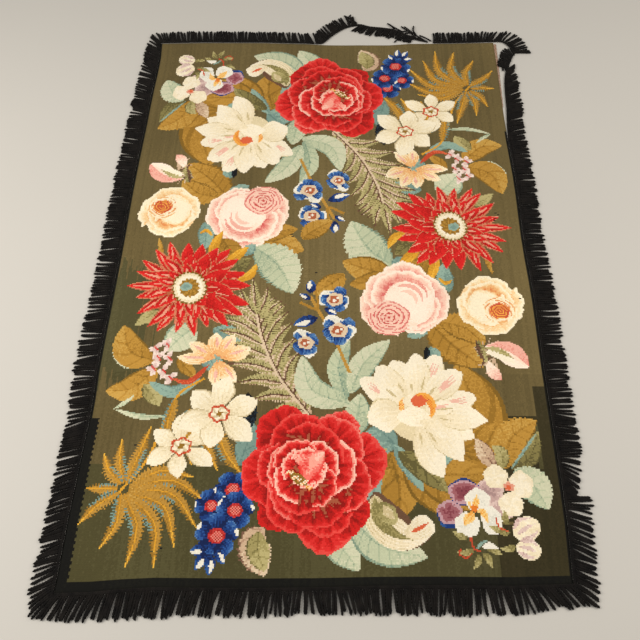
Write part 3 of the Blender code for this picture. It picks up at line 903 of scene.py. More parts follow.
def tulip(chart, spot):
    """An opening white bud that curls out of a striped green sheath."""
    blade(chart, spot, [(-50, 80), (-30, 20), (20, -25), (85, -25)], 92, oval, "fern_brown", flat(0.9))
    blade(
        chart, spot, [(-50, 70), (-40, 10), (10, -30), (80, -30)], 78, oval, "lily",
        petal_tone(0.3, 0.95, 2.0, 0, 0.3),
    )
    blade(chart, spot, [(-50, 65), (-45, 20), (-10, -20), (40, -40)], 30, lance, "fern_green", flat(0.5))
    blade(
        chart, spot, [(-35, 55), (-25, 30), (0, 0)], 50, oval, "fern_green",
        petal_tone(0.4, 0.95, 3.0, 0, 0.2),
    )
    blade(chart, spot, [(-30, 45), (-20, 30), (-5, 10)], 22, oval, "lily", flat(0.3))
    blade(
        chart, spot, [(20, -25), (50, -15), (85, 10)], 56, rounded, "lily", petal_tone(0.5, 1.0, 1.0, 0, 0.3)
    )
    blade(chart, spot, [(35, -20), (55, -10), (80, 5)], 10, lance, "coral", flat(0.9))


# Petals of the violas. Columns: x, y, radius across, radius up, family, tone at the middle and at the rim.
VIOLA_PETALS = (
    (420, -700, 35, 35, "petal_mauve", 0.20, 0.70),
    (450, -740, 30, 25, "petal_mauve", 0.30, 0.60),
    (360, -700, 40, 35, "blue", 0.20, 0.30),
    (360, -700, 40, 30, "mauve", 0.30, 1.00),
    (320, -760, 30, 30, "blue", 0.20, 0.40),
    (320, -750, 30, 30, "mauve", 0.45, 1.00),
    (440, -660, 30, 30, "lily", 0.80, 0.72),
    (500, -680, 30, 35, "lily", 0.95, 0.72),
    (470, -730, 30, 30, "lily", 0.85, 0.80),
    (390, -720, 30, 30, "white", 0.70, 0.90),
    (420, -770, 25, 35, "white", 0.60, 0.90),
    (360, -780, 30, 30, "white", 0.70, 0.95),
)


def violas(chart, spot):
    """A group of violas at the corner: one open face, a cream one beside it, two buds and a sprig."""
    for number, (x, y, across, up, family, middle, rim) in enumerate(VIOLA_PETALS):
        tone = shading(middle, rim, number)
        disc(chart, spot, x, y, across, up, family, tone, 0.05, 5)
    for path, width in (
        (((380, -740), (385, -725), (390, -705)), 16),
        (((385, -745), (400, -750), (410, -775)), 16),
        (((380, -750), (365, -765), (350, -785)), 24),
        (((380, -745), (370, -730), (370, -715)), 7),
    ):
        blade(
            chart, spot, path, width, lance, "flame", lambda s, v: 0.70 + 0.22 * s + 0.2 * wave(v * 4, 1, 2)
        )
    disc(chart, spot, 380, -740, 8, 9, "flame", flat(0.35), 0.2, 4)
    disc(chart, spot, 470, -685, 13, 11, "brick_rose", lambda r, a: 0.5 + 0.5 * r, 0.2, 5)
    disc(chart, spot, 468, -687, 7, 6, "coral", flat(0.8), 0.2, 4)
    for x, y, across, up, turn in ((500, -790, 35, 30, 30), (500, -840, 30, 25, -20)):
        bud = spot.inner(x, y, turn)
        disc(chart, bud, 0, 0, across, up, "lily", lambda r, a: 0.75 + 0.1 * np.sin(a * 2))
        for side in (-0.5, 0.0, 0.5):
            fold = [(-across * 0.8, side * up), (0, side * up * 1.6 + 3), (across * 0.8, side * up)]
            blade(chart, bud, fold, 11, lance, "petal_mauve", petal_tone(0.5, 0.8, side * 9, 0, 0.2))
    for x, y, turn in (
        (460, -780, 100), (460, -800, 150), (470, -830, 190), (450, -790, 170), (360, -810, 160),
        (390, -850, 300), (380, -850, 250), (370, -840, 190), (400, -840, 340),
    ):
        blade(
            chart, spot.inner(x, y, turn), [(0, 0), (15, 5), (40, 0)], 17, lance, "fern_green",
            petal_tone(0.3, 1.0, x, 0, 0.3),
        )
    blade(chart, spot, [(390, -835), (410, -830), (430, -840)], 16, lance, "white", flat(0.8))
    blade(chart, spot, [(375, -840), (390, -825), (410, -815)], 7, lance, "teal", flat(0.7))
    stem(chart, spot, [(430, -760), (435, -785), (455, -795)], 4, "coral", 0.5)
    stem(chart, spot, [(365, -810), (370, -835), (385, -845)], 5, "coral", 0.3)
    stem(chart, spot, [(340, -840), (335, -850), (350, -860), (365, -850)], 4, "coral", 0.3)


def posy(chart, spot):
    """One half of the design. The other half is the same, turned round."""
    chart.start("leaves")
    leaves(chart, spot)
    chart.start("green_fern")
    green_fern(chart, spot)
    chart.start("leaves")
    leaves(chart, spot, LEAVES[19:23])
    chart.start("ochre_fern")
    ochre_fern(chart, spot)
    chart.start("orchids")
    stem(chart, spot, [(170, -590), (140, -640), (100, -680)], 8, "fern_green", 0.9)
    stem(chart, spot, [(-30, -140), (0, -200), (40, -280), (80, -380)], 9, "ochre", 0.7)
    stem(chart, spot, [(-20, -100), (-10, -180), (-60, -160)], 8, "ochre", 0.5)
    for x, y, size, turn in ((40, -150, 1.2, 20), (50, -250, 1.3, 0), (-40, -290, 1.1, -10)):
        orchid(chart, spot.inner(x, y, turn), size)
    for x, y, turn, reach, width in (
        (-30, -130, 90, 44, 30), (-10, -210, 200, 70, 34), (-30, -150, 150, 36, 18), (10, -180, 330, 40, 20)
    ):
        bell(chart, spot.inner(x, y, turn), reach, width)
    chart.start("auriculas")
    for x, y, radius in ((-210, -700, 40), (-260, -740, 35), (-200, -750, 40), (-240, -810, 45)):
        blue_flower(chart, spot.inner(x, y, x % 40), radius)
    for x, y, turn, reach, width in (
        (-260, -840, 190, 40, 26), (-260, -850, 235, 44, 26), (-250, -850, 270, 48, 26),
        (-240, -840, 305, 40, 22),
    ):
        bell(chart, spot.inner(x, y, turn), reach, width)
    chart.start("narcissi")
    side_blossom(chart, spot.inner(-280, -340, 0, 1.3))
    narcissus(chart, spot.inner(-350, -590, 10), reach=90, width=52)
    narcissus(chart, spot.inner(-260, -500, 0), reach=105, width=70)
    chart.start("blossom_sprig")
    for x, y in (
        (-450, -310), (-420, -300), (-440, -340), (-410, -340), (-450, -370), (-420, -380), (-400, -400)
    ):
        for angle, length in ((40 + x % 50, 22), (130 + y % 60, 20), (230 + x % 40, 24)):
            blade(
                chart, spot, out_from(x, y, angle, -3, length, 3), 15, blunt, "petal_mauve",
                petal_tone(0.4, 1.0, angle),
            )
        blade(chart, spot, [(x - 6, y + 6), (x, y), (x + 6, y - 8)], 4.5, stalk, "berry", flat(0.6))
    chart.start("dahlia")
    dahlia(chart, spot.inner(-380, -110))
    chart.start("cream_rose")
    cream_rose(chart, spot.inner(470, -160))
    chart.start("rose")
    rose(chart, spot.inner(240, -150))
    chart.start("rosebud")
    rosebud(chart, spot.inner(500, -330, 0, 1.12))
    chart.start("lily")
    lily(chart, spot.inner(250, -490))
    chart.start("white_bud")
    tulip(chart, spot.inner(190, -780))
    chart.start("peony")
    peony(chart, spot.inner(-10, -670))
    chart.start("violas")
    violas(chart, spot)


# Moth holes and darned specks, all in the darkest wool; in the holes it is painted shade. Columns: x, y in
# mm.
SPECKS = (
    (532, 152), (524, 160), (516, 132), (520, 140), (560, -146), (-470, -590), (-96, 74), (-92, 70),
    (-20, -60), (-372, -842),
)


def design():
    chart = Chart()
    ground(chart)
    chart.half = "upper_"
    posy(chart, Spot(HALF_TURN[0], HALF_TURN[1], 180))
    chart.half = "lower_"
    posy(chart, Spot())
    # Each speck is two stitches of the darkest wool, which is painted shade where it is a moth hole.
    for x, y in SPECKS:
        column, row = np.searchsorted(X, x), np.searchsorted(Y, y)
        chart.wool[row, column : column + 2] = NUMBER[("night", 0)]
    return chart


# ---- the panel ----

# Sizes are in metres from here on, but for the tables whose heads name mm.
PANEL_WIDTH = 1.200
PANEL_LENGTH = 1.850
PANEL_THICK = 0.003
PANEL_COLUMNS = 16
PANEL_ROWS = 24
EDGE_DEPTH = 0.15

# Each edge strays from a true rectangle. Columns: share along the edge, how far it moves in mm.
EDGE_LEFT = (
    (0.0, -4), (0.08, -4), (0.15, -1), (0.23, 3), (0.30, -2), (0.50, 0), (0.63, -2), (0.84, 3),
    (0.95, 8), (1.0, 2),
)
EDGE_RIGHT = (
    (0.0, -9), (0.04, -5), (0.10, 0), (0.30, 0), (0.42, 3), (0.53, -1), (0.65, 3), (0.77, -2), (1.0, 0),
)
EDGE_BOTTOM = (
    (0.0, -21), (0.06, -18), (0.11, -11), (0.17, -5), (0.35, -4), (0.50, 0), (0.62, 6), (0.75, 9), (0.87, 10),
    (1.0, 16),
)
EDGE_TOP = (
    (0.0, 2), (0.12, 6), (0.30, 5), (0.45, -1), (0.52, -8), (0.61, -10), (0.70, -8), (0.75, 0),
    (0.85, 0), (1.0, 5),
)
# Places where the cloth stands off the floor, in mm. Columns: x, y, half lengths along x and y, height.
RIPPLES = ((135, 925, 120, 55, 2.0), (600, 800, 45, 110, 1.2), (-560, -940, 90, 45, 1.5))


def smooth_step(share):
    return share * share * (3 - 2 * share)


def read_table(table, share):
    """A table's values at a share along it, eased from row to row."""
    for before, after in zip(table, table[1:]):
        if share <= after[0]:
            part = smooth_step(max(0.0, (share - before[0]) / (after[0] - before[0])))
            return [low + (high - low) * part for low, high in zip(before[1:], after[1:])]
    return list(table[-1][1:])


def edge_shift(table, share, steps):
    """How far an edge strays at each share along it, straight between the CAD panel's own points."""
    knots = np.linspace(0, 1, steps + 1)
    return np.interp(share, knots, [read_table(table, knot)[0] * MM for knot in knots])


def ripple(x, y):
    height = np.zeros_like(x)
    for middle_x, middle_y, half_x, half_y, tall in RIPPLES:
        away = np.hypot((x - middle_x * MM) / (half_x * MM), (y - middle_y * MM) / (half_y * MM))
        height += tall * MM * smooth_step(np.clip(1 - away, 0, 1))
    return height


def panel_places(across, along):
    """Places on the panel's underside at shares of its width and length."""

    def near(share):
        return np.clip(1 - share / EDGE_DEPTH, 0, 1) ** 2

    x = (across - 0.5) * PANEL_WIDTH
    x = x + edge_shift(EDGE_LEFT, along, PANEL_ROWS) * near(across)
    x = x + edge_shift(EDGE_RIGHT, along, PANEL_ROWS) * near(1 - across)
    y = (along - 0.5) * PANEL_LENGTH
    y = y + edge_shift(EDGE_BOTTOM, across, PANEL_COLUMNS) * near(along)
    y = y + edge_shift(EDGE_TOP, across, PANEL_COLUMNS) * near(1 - along)
    return x, y, ripple(x, y)


def move_to(mesh, x, y, z):
    mesh.vertices.foreach_set("co", np.column_stack([x, y, z]).astype(np.float32).ravel())
    mesh.update()


def shares_of(mesh):
    """The grid's own places, each from 0 to 1."""
    places = np.empty(len(mesh.vertices) * 3, np.float32)
    mesh.vertices.foreach_get("co", places)
    return places[0::3] + 0.5, places[1::3] + 0.5


def lay_bake_map(mesh):
    """A flat UV map over the piece's own box, for a sheet that never doubles back."""
    places = np.empty(len(mesh.vertices) * 3, np.float32)
    mesh.vertices.foreach_get("co", places)
    flat_places = places.reshape(-1, 3)[:, :2]
    low, high = flat_places.min(0), flat_places.max(0)
    corners = np.empty(len(mesh.loops), np.int32)
    mesh.loops.foreach_get("vertex_index", corners)
    uv = (flat_places[corners] - low) / (high - low).max() * 0.992 + 0.004
    mesh.uv_layers.new(name="OFBake").data.foreach_set("uv", uv.astype(np.float32).ravel())


def wool_material():
    """Wool stitches: matt, faintly hairy, in short slanted ridges, with painted shade in the holes between
    them.
    """
    material, tree, shader = new_material("crewel_wool_tent_stitch", 0.9, 0.03, 0.6)
    shader.inputs["Sheen Tint"].default_value = (*linear("d8cdb4"), 1)
    dyed = add_node(tree, "ShaderNodeAttribute", {"attribute_name": "wool_colour"})
    canvas = add_node(tree, "ShaderNodeUVMap", {"uv_map": "canvas"})
    axes = add_node(tree, "ShaderNodeSeparateXYZ", links={"Vector": (canvas, "UV")})
    math_node = "ShaderNodeMath"
    slant = add_node(tree, math_node, {"operation": "ADD"}, links={0: (axes, "X"), 1: (axes, "Y")})
    turns = add_node(tree, math_node, {"operation": "MULTIPLY"}, {1: math.pi}, {0: (slant, "Value")})
    ridge = add_node(tree, math_node, {"operation": "SINE"}, links={0: (turns, "Value")})
    ridge = add_node(tree, math_node, {"operation": "ABSOLUTE"}, links={0: (ridge, "Value")})
    rows = add_node(tree, math_node, {"operation": "MULTIPLY"}, {1: math.pi}, {0: (axes, "Y")})
    rows = add_node(tree, math_node, {"operation": "SINE"}, links={0: (rows, "Value")})
    rows = add_node(tree, math_node, {"operation": "ABSOLUTE"}, links={0: (rows, "Value")})
    stitch = add_node(
        tree, math_node, {"operation": "MULTIPLY"}, links={0: (ridge, "Value"), 1: (rows, "Value")}
    )
    # Painted shade: the wool's colour is darkened in the holes between the stitches and lifted a little on
    # their ridges.
    depth = add_node(
        tree, "ShaderNodeMapRange", values={"From Max": 0.45, "To Min": 0.84, "To Max": 1.03},
        links={"Value": (stitch, "Value")},
    )
    place = add_node(tree, "ShaderNodeTexCoord")
    hairs = add_node(
        tree, "ShaderNodeTexNoise", values={"Scale": 900.0, "Detail": 2.0},
        links={"Vector": (place, "Object")},
    )
    fade = add_node(
        tree, "ShaderNodeTexNoise", values={"Scale": 5.0, "Detail": 4.0}, links={"Vector": (place, "Object")}
    )
    fading = add_node(
        tree, "ShaderNodeMapRange", values={"From Min": 0.3, "From Max": 0.7, "To Min": 0.93, "To Max": 1.07},
        links={"Value": (fade, "Fac")},
    )
    hairy = add_node(
        tree, "ShaderNodeMapRange", values={"From Min": 0.3, "From Max": 0.7, "To Min": 0.92, "To Max": 1.08},
        links={"Value": (hairs, "Fac")},
    )
    shade = add_node(
        tree, math_node, {"operation": "MULTIPLY"}, links={0: (depth, "Result"), 1: (fading, "Result")}
    )
    shade = add_node(
        tree, math_node, {"operation": "MULTIPLY"}, links={0: (shade, "Value"), 1: (hairy, "Result")}
    )
    coloured = add_node(
        tree, "ShaderNodeVectorMath", {"operation": "SCALE"},
        links={"Vector": (dyed, "Color"), "Scale": (shade, "Value")},
    )
    tree.links.new(coloured.outputs["Vector"], shader.inputs["Base Color"])
    fibres = add_node(
        tree, math_node, {"operation": "MULTIPLY_ADD"}, {1: 0.25}, {0: (hairs, "Fac"), 2: (stitch, "Value")}
    )
    bump = add_node(
        tree, "ShaderNodeBump", values={"Strength": 0.45, "Distance": 0.0007},
        links={"Height": (fibres, "Value")},
    )
    tree.links.new(bump.outputs["Normal"], shader.inputs["Normal"])
    return material


def linen_material(name, light, dark, glint, thread):
    """Plain-woven linen of matt threads, with painted shade between them and painted glints on some. thread
    is their spacing in mm.
    """
    material, tree, shader = new_material(name, 0.82, 0.08, 0.5)
    place = add_node(tree, "ShaderNodeTexCoord")
    axes = add_node(tree, "ShaderNodeSeparateXYZ", links={"Vector": (place, "Object")})
    waves = []
    for axis in ("X", "Y"):
        turns = add_node(
            tree, "ShaderNodeMath", {"operation": "MULTIPLY"}, {1: math.pi / (thread * MM)},
            {0: (axes, axis)},
        )
        waves.append(add_node(tree, "ShaderNodeMath", {"operation": "SINE"}, links={0: (turns, "Value")}))
    weave = add_node(
        tree, "ShaderNodeMath", {"operation": "MULTIPLY"},
        links={0: (waves[0], "Value"), 1: (waves[1], "Value")},
    )
    level = add_node(
        tree, "ShaderNodeMapRange", values={"From Min": -1.0, "From Max": 1.0},
        links={"Value": (weave, "Value")},
    )
    slubs = add_node(
        tree, "ShaderNodeTexNoise", values={"Scale": 320.0, "Detail": 3.0},
        links={"Vector": (place, "Object")},
    )
    mixed = add_node(
        tree, "ShaderNodeMath", {"operation": "MULTIPLY"}, links={0: (level, "Result"), 1: (slubs, "Fac")}
    )
    # Painted light: the dark colour is shade where the weave sinks, the glint colour a highlight where it
    # rises most.
    ramp = add_node(tree, "ShaderNodeValToRGB", links={"Fac": (mixed, "Value")})
    ramp.color_ramp.elements[0].color = (*linear(dark), 1)
    ramp.color_ramp.elements[1].position = 0.38
    ramp.color_ramp.elements[1].color = (*linear(light), 1)
    ramp.color_ramp.elements.new(0.52).color = (*linear(glint), 1)
    tree.links.new(ramp.outputs["Color"], shader.inputs["Base Color"])
    bump = add_node(
        tree, "ShaderNodeBump", values={"Strength": 0.5, "Distance": 0.0004},
        links={"Height": (mixed, "Value")},
    )
    tree.links.new(bump.outputs["Normal"], shader.inputs["Normal"])
    return material


CLOTH_COLUMNS = 64
CLOTH_ROWS = 96
CANVAS_UNDER = 0.0008
COLOUR_SPREAD = 0.05
LOFT = 0.00022
EDGE_ROLL = (0.0022, 0.0008, 0.0002)
CANVAS_AT_EDGE = 0.0007
FACE_ORDER = Vector((1.0, 37.0, 1009.0))


def make_canvas(material):
    """The canvas and its lining, under the stitches. It comes up to them along the edges."""
    bm = bmesh.new()
    bmesh.ops.create_grid(bm, x_segments=CLOTH_COLUMNS, y_segments=CLOTH_ROWS, size=0.5)
    mesh = bpy.data.meshes.new("canvas_cloth")
    bm.to_mesh(mesh)
    bm.free()
    across, along = shares_of(mesh)
    x, y, z = panel_places(across, along)
    move_to(mesh, x, y, z)
    lay_bake_map(mesh)
    bm = bmesh.new()
    bm.from_mesh(mesh)
    rim = {vert for edge in bm.edges if edge.is_boundary for vert in edge.verts}
    rim_places = {(round(vert.co.x, 5), round(vert.co.y, 5)) for vert in rim}
    grown = bmesh.ops.extrude_face_region(bm, geom=bm.faces[:])["geom"]
    for vert in (item for item in grown if isinstance(item, bmesh.types.BMVert)):
        at_rim = (round(vert.co.x, 5), round(vert.co.y, 5)) in rim_places
        vert.co.z += CANVAS_AT_EDGE if at_rim else PANEL_THICK - CANVAS_UNDER
    bmesh.ops.recalc_face_normals(bm, faces=bm.faces)
    # The extrude gives the rim's faces in no fixed order.
    bm.faces.sort(key=lambda face: face.calc_center_median().dot(FACE_ORDER))
    bm.to_mesh(mesh)
    bm.free()
    return show("canvas_cloth", mesh, material)


def make_stitches(chart, material):
    """Each motif's stitches as a piece of its own. Neighbouring pieces meet along the same canvas threads."""
    dyes = np.array([linear(WOOLS[family][shade]) for family, shade in NAMES])
    uneven = np.random.default_rng(21)
    colour_of = dyes[chart.wool] * (1 + uneven.uniform(-COLOUR_SPREAD, COLOUR_SPREAD, (ROWS, COLUMNS, 1)))
    lift = uneven.uniform(-1, 1, (ROWS + 1, COLUMNS + 1)) * LOFT
    for line, drop in enumerate(EDGE_ROLL):
        ring = slice(line, ROWS + 1 - line), slice(line, COLUMNS + 1 - line)
        outermost = np.ones((ROWS + 1, COLUMNS + 1), bool)
        outermost[line + 1 : ROWS - line, line + 1 : COLUMNS - line] = False
        outside = np.ones_like(outermost)
        outside[ring] = False
        lift[outermost & ~outside] = -drop
    pieces = []
    for number, name in enumerate(chart.names):
        mine = chart.motif == number
        rows = np.flatnonzero(mine.any(1))
        columns = np.flatnonzero(mine.any(0))
        if rows.size == 0:
            continue
        r0, r1, c0, c1 = rows[0], rows[-1] + 1, columns[0], columns[-1] + 1
        mine = mine[r0:r1, c0:c1]
        bm = bmesh.new()
        bmesh.ops.create_grid(bm, x_segments=int(c1 - c0), y_segments=int(r1 - r0), size=0.5)
        number_of = bm.faces.layers.int.new("stitch")
        unwanted = []
        for index, (face, keep) in enumerate(zip(bm.faces, mine.ravel())):
            face[number_of] = index
            if not keep:
                unwanted.append(face)
        bmesh.ops.delete(bm, geom=unwanted, context="FACES")
        mesh = bpy.data.meshes.new(name)
        bm.to_mesh(mesh)
        bm.free()
        across, along = shares_of(mesh)
        column = np.rint(across * (c1 - c0)).astype(int) + c0
        row = np.rint(along * (r1 - r0)).astype(int) + r0
        x, y, z = panel_places(column / COLUMNS, row / ROWS)
        corners = np.empty(len(mesh.loops), np.int32)
        mesh.loops.foreach_get("vertex_index", corners)
        canvas = np.column_stack([column[corners], row[corners]]).astype(np.float32)
        mesh.uv_layers.new(name="canvas").data.foreach_set("uv", canvas.ravel())
        move_to(mesh, x, y, z + PANEL_THICK + lift[row, column])
        lay_bake_map(mesh)
        stitch = np.empty(len(mesh.polygons), np.int32)
        mesh.attributes["stitch"].data.foreach_get("value", stitch)
        dyed = np.repeat(colour_of[r0:r1, c0:c1].reshape(-1, 3)[stitch], 4, axis=0)
        dyed = np.column_stack([dyed, np.ones(len(dyed))]).astype(np.float32)
        colours = mesh.color_attributes.new("wool_colour", "FLOAT_COLOR", "CORNER")
        colours.data.foreach_set("color", dyed.ravel())
        mesh.attributes.remove(mesh.attributes["stitch"])
        piece = show(f"stitched_{name}", mesh, material)
        pieces.append(piece)
    return pieces


# ---- the fringe ----

HEADING_WIDTH = 0.012
HEADING_GAP = 0.0005
SEAM_LAP = 0.0006
TWIST_SHARE = 0.53
TWIST_REACH = 0.035
TOP_BARE_LEFT = -0.041
TOP_BARE_RIGHT = 0.385
TOP_CORNER = 0.590
SIDE_JOIN = 0.030

CORD_ROOT = 0.0035
CORD_PITCH = 0.0059
CORD_RADIUS = 0.0037
CORD_RINGS = 27
CORD_SIDES = 8
CORD_TURN = 0.0135
CORD_CLUMPS = 8.0
CORD_JITTER = 5.0

# How the cords of each fringe lie. Columns: share along the fringe, direction in degrees from +X, reach
# in mm, and the side of the heading that they hang from, 1 away from the panel or -1 towards it.
CORDS_LEFT = (
    (0.00, 128, 46, 1), (0.05, 150, 50, 1), (0.15, 165, 50, 1), (0.30, 178, 50, 1), (0.50, 182, 50, 1),
    (0.66, 184, 54, 1), (0.78, 196, 50, 1), (0.86, 202, 48, 1), (0.95, 203, 50, 1), (1.00, 222, 56, 1),
)
CORDS_BOTTOM = (
    (0.00, 236, 58, 1), (0.04, 250, 56, 1), (0.12, 262, 54, 1), (0.36, 260, 50, 1), (0.46, 272, 48, 1),
    (0.54, 280, 46, 1), (0.66, 274, 50, 1), (0.80, 270, 52, 1), (0.88, 284, 50, 1), (0.96, 302, 48, 1),
    (1.00, 318, 52, 1),
)
CORDS_RIGHT = (
    (0.00, -34, 50, 1), (0.03, -24, 50, 1), (0.10, -14, 52, 1), (0.118, 4, 56, 1), (0.132, -46, 34, 1),
    (0.155, -30, 40, 1), (0.18, -3, 50, 1), (0.45, 0, 50, 1), (0.65, 3, 48, 1), (0.80, 12, 48, 1),
    (0.90, 24, 44, 1), (0.955, 34, 32, 1), (0.960, 160, 30, -1), (0.985, 140, 38, -1), (1.00, 122, 40, -1),
)
CORDS_TOP_RIGHT = (
    (0.00, 8, 50, 1), (0.14, 30, 56, 1), (0.26, 52, 52, 1), (0.38, 72, 46, 1), (0.60, 88, 42, 1),
    (1.00, 95, 42, 1),
)
CORDS_TOP_LEFT = (
    (0.00, 106, 44, 1), (0.20, 97, 44, 1), (0.60, 95, 46, 1), (0.92, 98, 46, 1), (1.00, 118, 48, 1)
)
CORDS_LOOSE = (
    (0.00, 252, 26, -1), (0.16, 246, 34, -1), (0.34, 240, 40, -1), (0.50, 236, 36, -1), (0.56, 98, 40, 1),
    (0.66, 124, 50, 1), (0.84, 120, 50, 1), (1.00, 98, 46, 1),
)
# The torn-off length of fringe, from its frayed end back to the last stitch. Columns: x, y in mm.
LOOSE_PATH = (
    (318, 955), (294, 962), (252, 990), (208, 1001), (160, 1008), (118, 1020), (72, 1006), (28, 969),
    (4, 940), (-12, 923.5), (-37, 921.4),
)
# The fringe stands clear of the top right corner, and of the right edge below it. Columns: x, y in mm.
CORNER_PATH = ((664, 872), (652, 906), (632, 929), (612, 932))
SIDE_PATH = ((602, 520), (609, 600), (613, 680), (618, 735), (627, 780), (640, 820), (651, 848), (658, 862))
# Cords that stray from the rest. Each path in mm, by the CAD node that it belongs to.
STRAYS = {
    "fringe_loose_end": (
        ((114, 1033), (88, 1058), (65, 1076)),
        ((101, 1046), (83, 1061), (91, 1081)),
        ((279, 986), (250, 1006), (224, 1033)),
        ((250, 999), (238, 1016), (232, 1027)),
        ((329, 948), (295, 991), (274, 1016)),
        ((366, 929), (323, 967), (285, 1016)),
        ((327, 969), (317, 991), (320, 1018)),
        ((379, 936), (358, 950), (338, 967)),
        ((272, 974), (260, 948), (246, 930)),
        ((282, 977), (282, 948), (281, 932)),
        ((279, 977), (290, 953), (289, 934)),
        ((288, 967), (322, 945), (366, 932)),
        ((285, 977), (311, 977), (345, 943)),
        ((263, 981), (246, 969), (224, 950)),
        ((294, 967), (316, 952), (335, 950)),
        ((263, 991), (233, 972), (216, 955)),
        ((300, 962), (330, 948), (358, 934)),
        ((270, 985), (300, 985), (330, 962)),
    ),
    "fringe_right": (
        ((619, 782), (618, 815), (620, 849)),
        ((628, 782), (629, 829), (625, 856)),
        ((642, 802), (630, 840), (632, 872)),
        ((652, 830), (644, 856), (640, 884)),
        ((662, 858), (652, 880), (648, 896)),
        ((668, 862), (660, 884), (656, 900)),
    ),
    "fringe_top_right": (
        ((664, 872), (690, 882), (716, 894)),
        ((660, 880), (680, 894), (708, 912)),
    ),
}


def edge_points(side):
    """The panel's outline along one side, in the order that the fringe runs: anticlockwise from above."""
    rows = np.linspace(0, 1, PANEL_ROWS + 1)
    columns = np.linspace(0, 1, PANEL_COLUMNS + 1)
    across, along = {
        "left": (np.zeros_like(rows), rows[::-1]),
        "bottom": (columns, np.zeros_like(columns)),
        "right": (np.ones_like(rows), rows),
        "top": (columns[::-1], np.ones_like(columns)),
    }[side]
    x, y, _ = panel_places(across, along)
    return [Vector(place) for place in zip(x, y)]


def edge_at(points, at_x):
    for right, left in zip(points, points[1:]):
        if at_x >= left.x:
            return left.lerp(right, (at_x - left.x) / (right.x - left.x))
    return points[-1]


def smooth_line(table):
    return [Vector(place) * MM for place in curve(table, 8 * (len(table) - 1))]


class Line:
    """A line of points, read by the length along it."""

    def __init__(self, points):
        self.points = points
        self.starts = [0.0]
        for start, end in zip(points, points[1:]):
            self.starts.append(self.starts[-1] + (end - start).length)
        self.length = self.starts[-1]

    def at(self, length):
        number = int(np.clip(np.searchsorted(self.starts, length, "right") - 1, 0, len(self.points) - 2))
        start, end = self.points[number : number + 2]
        heading = (end - start).normalized()
        return start + heading * (length - self.starts[number]), heading

    def outward(self, length, reach=0.012):
        """The side away from the panel, turned smoothly round each bend."""
        before, after = self.at(max(length - reach, 0))[0], self.at(min(length + reach, self.length))[0]
        heading = (after - before).normalized()
        return Vector((heading.y, -heading.x))


def section_curve(name, points):
    """A flat closed curve that is swept along others as their cross-section."""
    data = bpy.data.curves.new(name, "CURVE")
    data.dimensions = "2D"
    spline = data.splines.new("POLY")
    spline.points.add(len(points) - 1)
    spline.points.foreach_set(
        "co", np.column_stack([points, np.zeros(len(points)), np.ones(len(points))]).ravel()
    )
    spline.use_cyclic_u = True
    thing = bpy.data.objects.new(name, data)
    bpy.context.scene.collection.objects.link(thing)
    return thing


def sweep(name, strands, section):
    """A mesh of the section swept along each strand. A strand is its points, its sizes and its turns."""
    data = bpy.data.curves.new(name, "CURVE")
    data.dimensions = "3D"
    data.bevel_mode = "OBJECT"
    data.bevel_object = section
    data.use_fill_caps = True
    data.twist_mode = "Z_UP"
    for places, sizes, turns in strands:
        spline = data.splines.new("POLY")
        spline.points.add(len(places) - 1)
        spline.points.foreach_set("co", np.column_stack([places, np.ones(len(places))]).ravel())
        spline.points.foreach_set("radius", sizes)
        spline.points.foreach_set("tilt", turns)
    thing = bpy.data.objects.new(name, data)
    bpy.context.scene.collection.objects.link(thing)
    bpy.context.view_layer.update()
    mesh = bpy.data.meshes.new_from_object(thing.evaluated_get(bpy.context.evaluated_depsgraph_get()))
    bpy.data.objects.remove(thing)
    bpy.data.curves.remove(data)
    bm = bmesh.new()
    bm.from_mesh(mesh)
    bmesh.ops.recalc_face_normals(bm, faces=bm.faces)
    bm.to_mesh(mesh)
    bm.free()
    mesh.shade_smooth()
    mesh.name = name
    return mesh


def black_wool_material(name, stretch):
    """Two-ply black wool, gone a little brown: matt and hairy, with a faint bloom where it turns away."""
    material, tree, shader = new_material(name, 0.88, 0.10, 0.45)
    shader.inputs["Sheen Tint"].default_value = (*linear("8c8276"), 1)
    place = add_node(tree, "ShaderNodeTexCoord")
    fading = add_node(
        tree, "ShaderNodeTexNoise", values={"Scale": 60.0, "Detail": 3.0},
        links={"Vector": (place, "Object")},
    )
    hairs = add_node(
        tree, "ShaderNodeTexNoise", values={"Scale": stretch, "Detail": 3.0, "Roughness": 0.7},
        links={"Vector": (place, "Object")},
    )
    ramp = add_node(tree, "ShaderNodeValToRGB", links={"Fac": (fading, "Fac")})
    ramp.color_ramp.elements[0].position = 0.30
    ramp.color_ramp.elements[0].color = (*linear("0d0c0c"), 1)
    ramp.color_ramp.elements[1].position = 0.72
    ramp.color_ramp.elements[1].color = (*linear("1c1917"), 1)
    hairy = add_node(
        tree, "ShaderNodeMapRange", values={"From Min": 0.3, "From Max": 0.7, "To Min": 0.75, "To Max": 1.3},
        links={"Value": (hairs, "Fac")},
    )
    coloured = add_node(
        tree, "ShaderNodeVectorMath", {"operation": "SCALE"},
        links={"Vector": (ramp, "Color"), "Scale": (hairy, "Result")},
    )
    tree.links.new(coloured.outputs["Vector"], shader.inputs["Base Color"])
    bump = add_node(
        tree, "ShaderNodeBump", values={"Strength": 0.5, "Distance": 0.0005},
        links={"Height": (hairs, "Fac")},
    )
    tree.links.new(bump.outputs["Normal"], shader.inputs["Normal"])
    return material


PLAIT_PITCH = 0.018
PLAIT_WIDTH = 0.0078
PLAIT_HEIGHT = 0.0044
PLAIT_INSET = 0.0016
PLAIT_OVER = 0.0008
PLAIT_STRAND = (0.0019, 0.0013)
PLAIT_STEPS = 8
PLAIT_STRANDS = 3


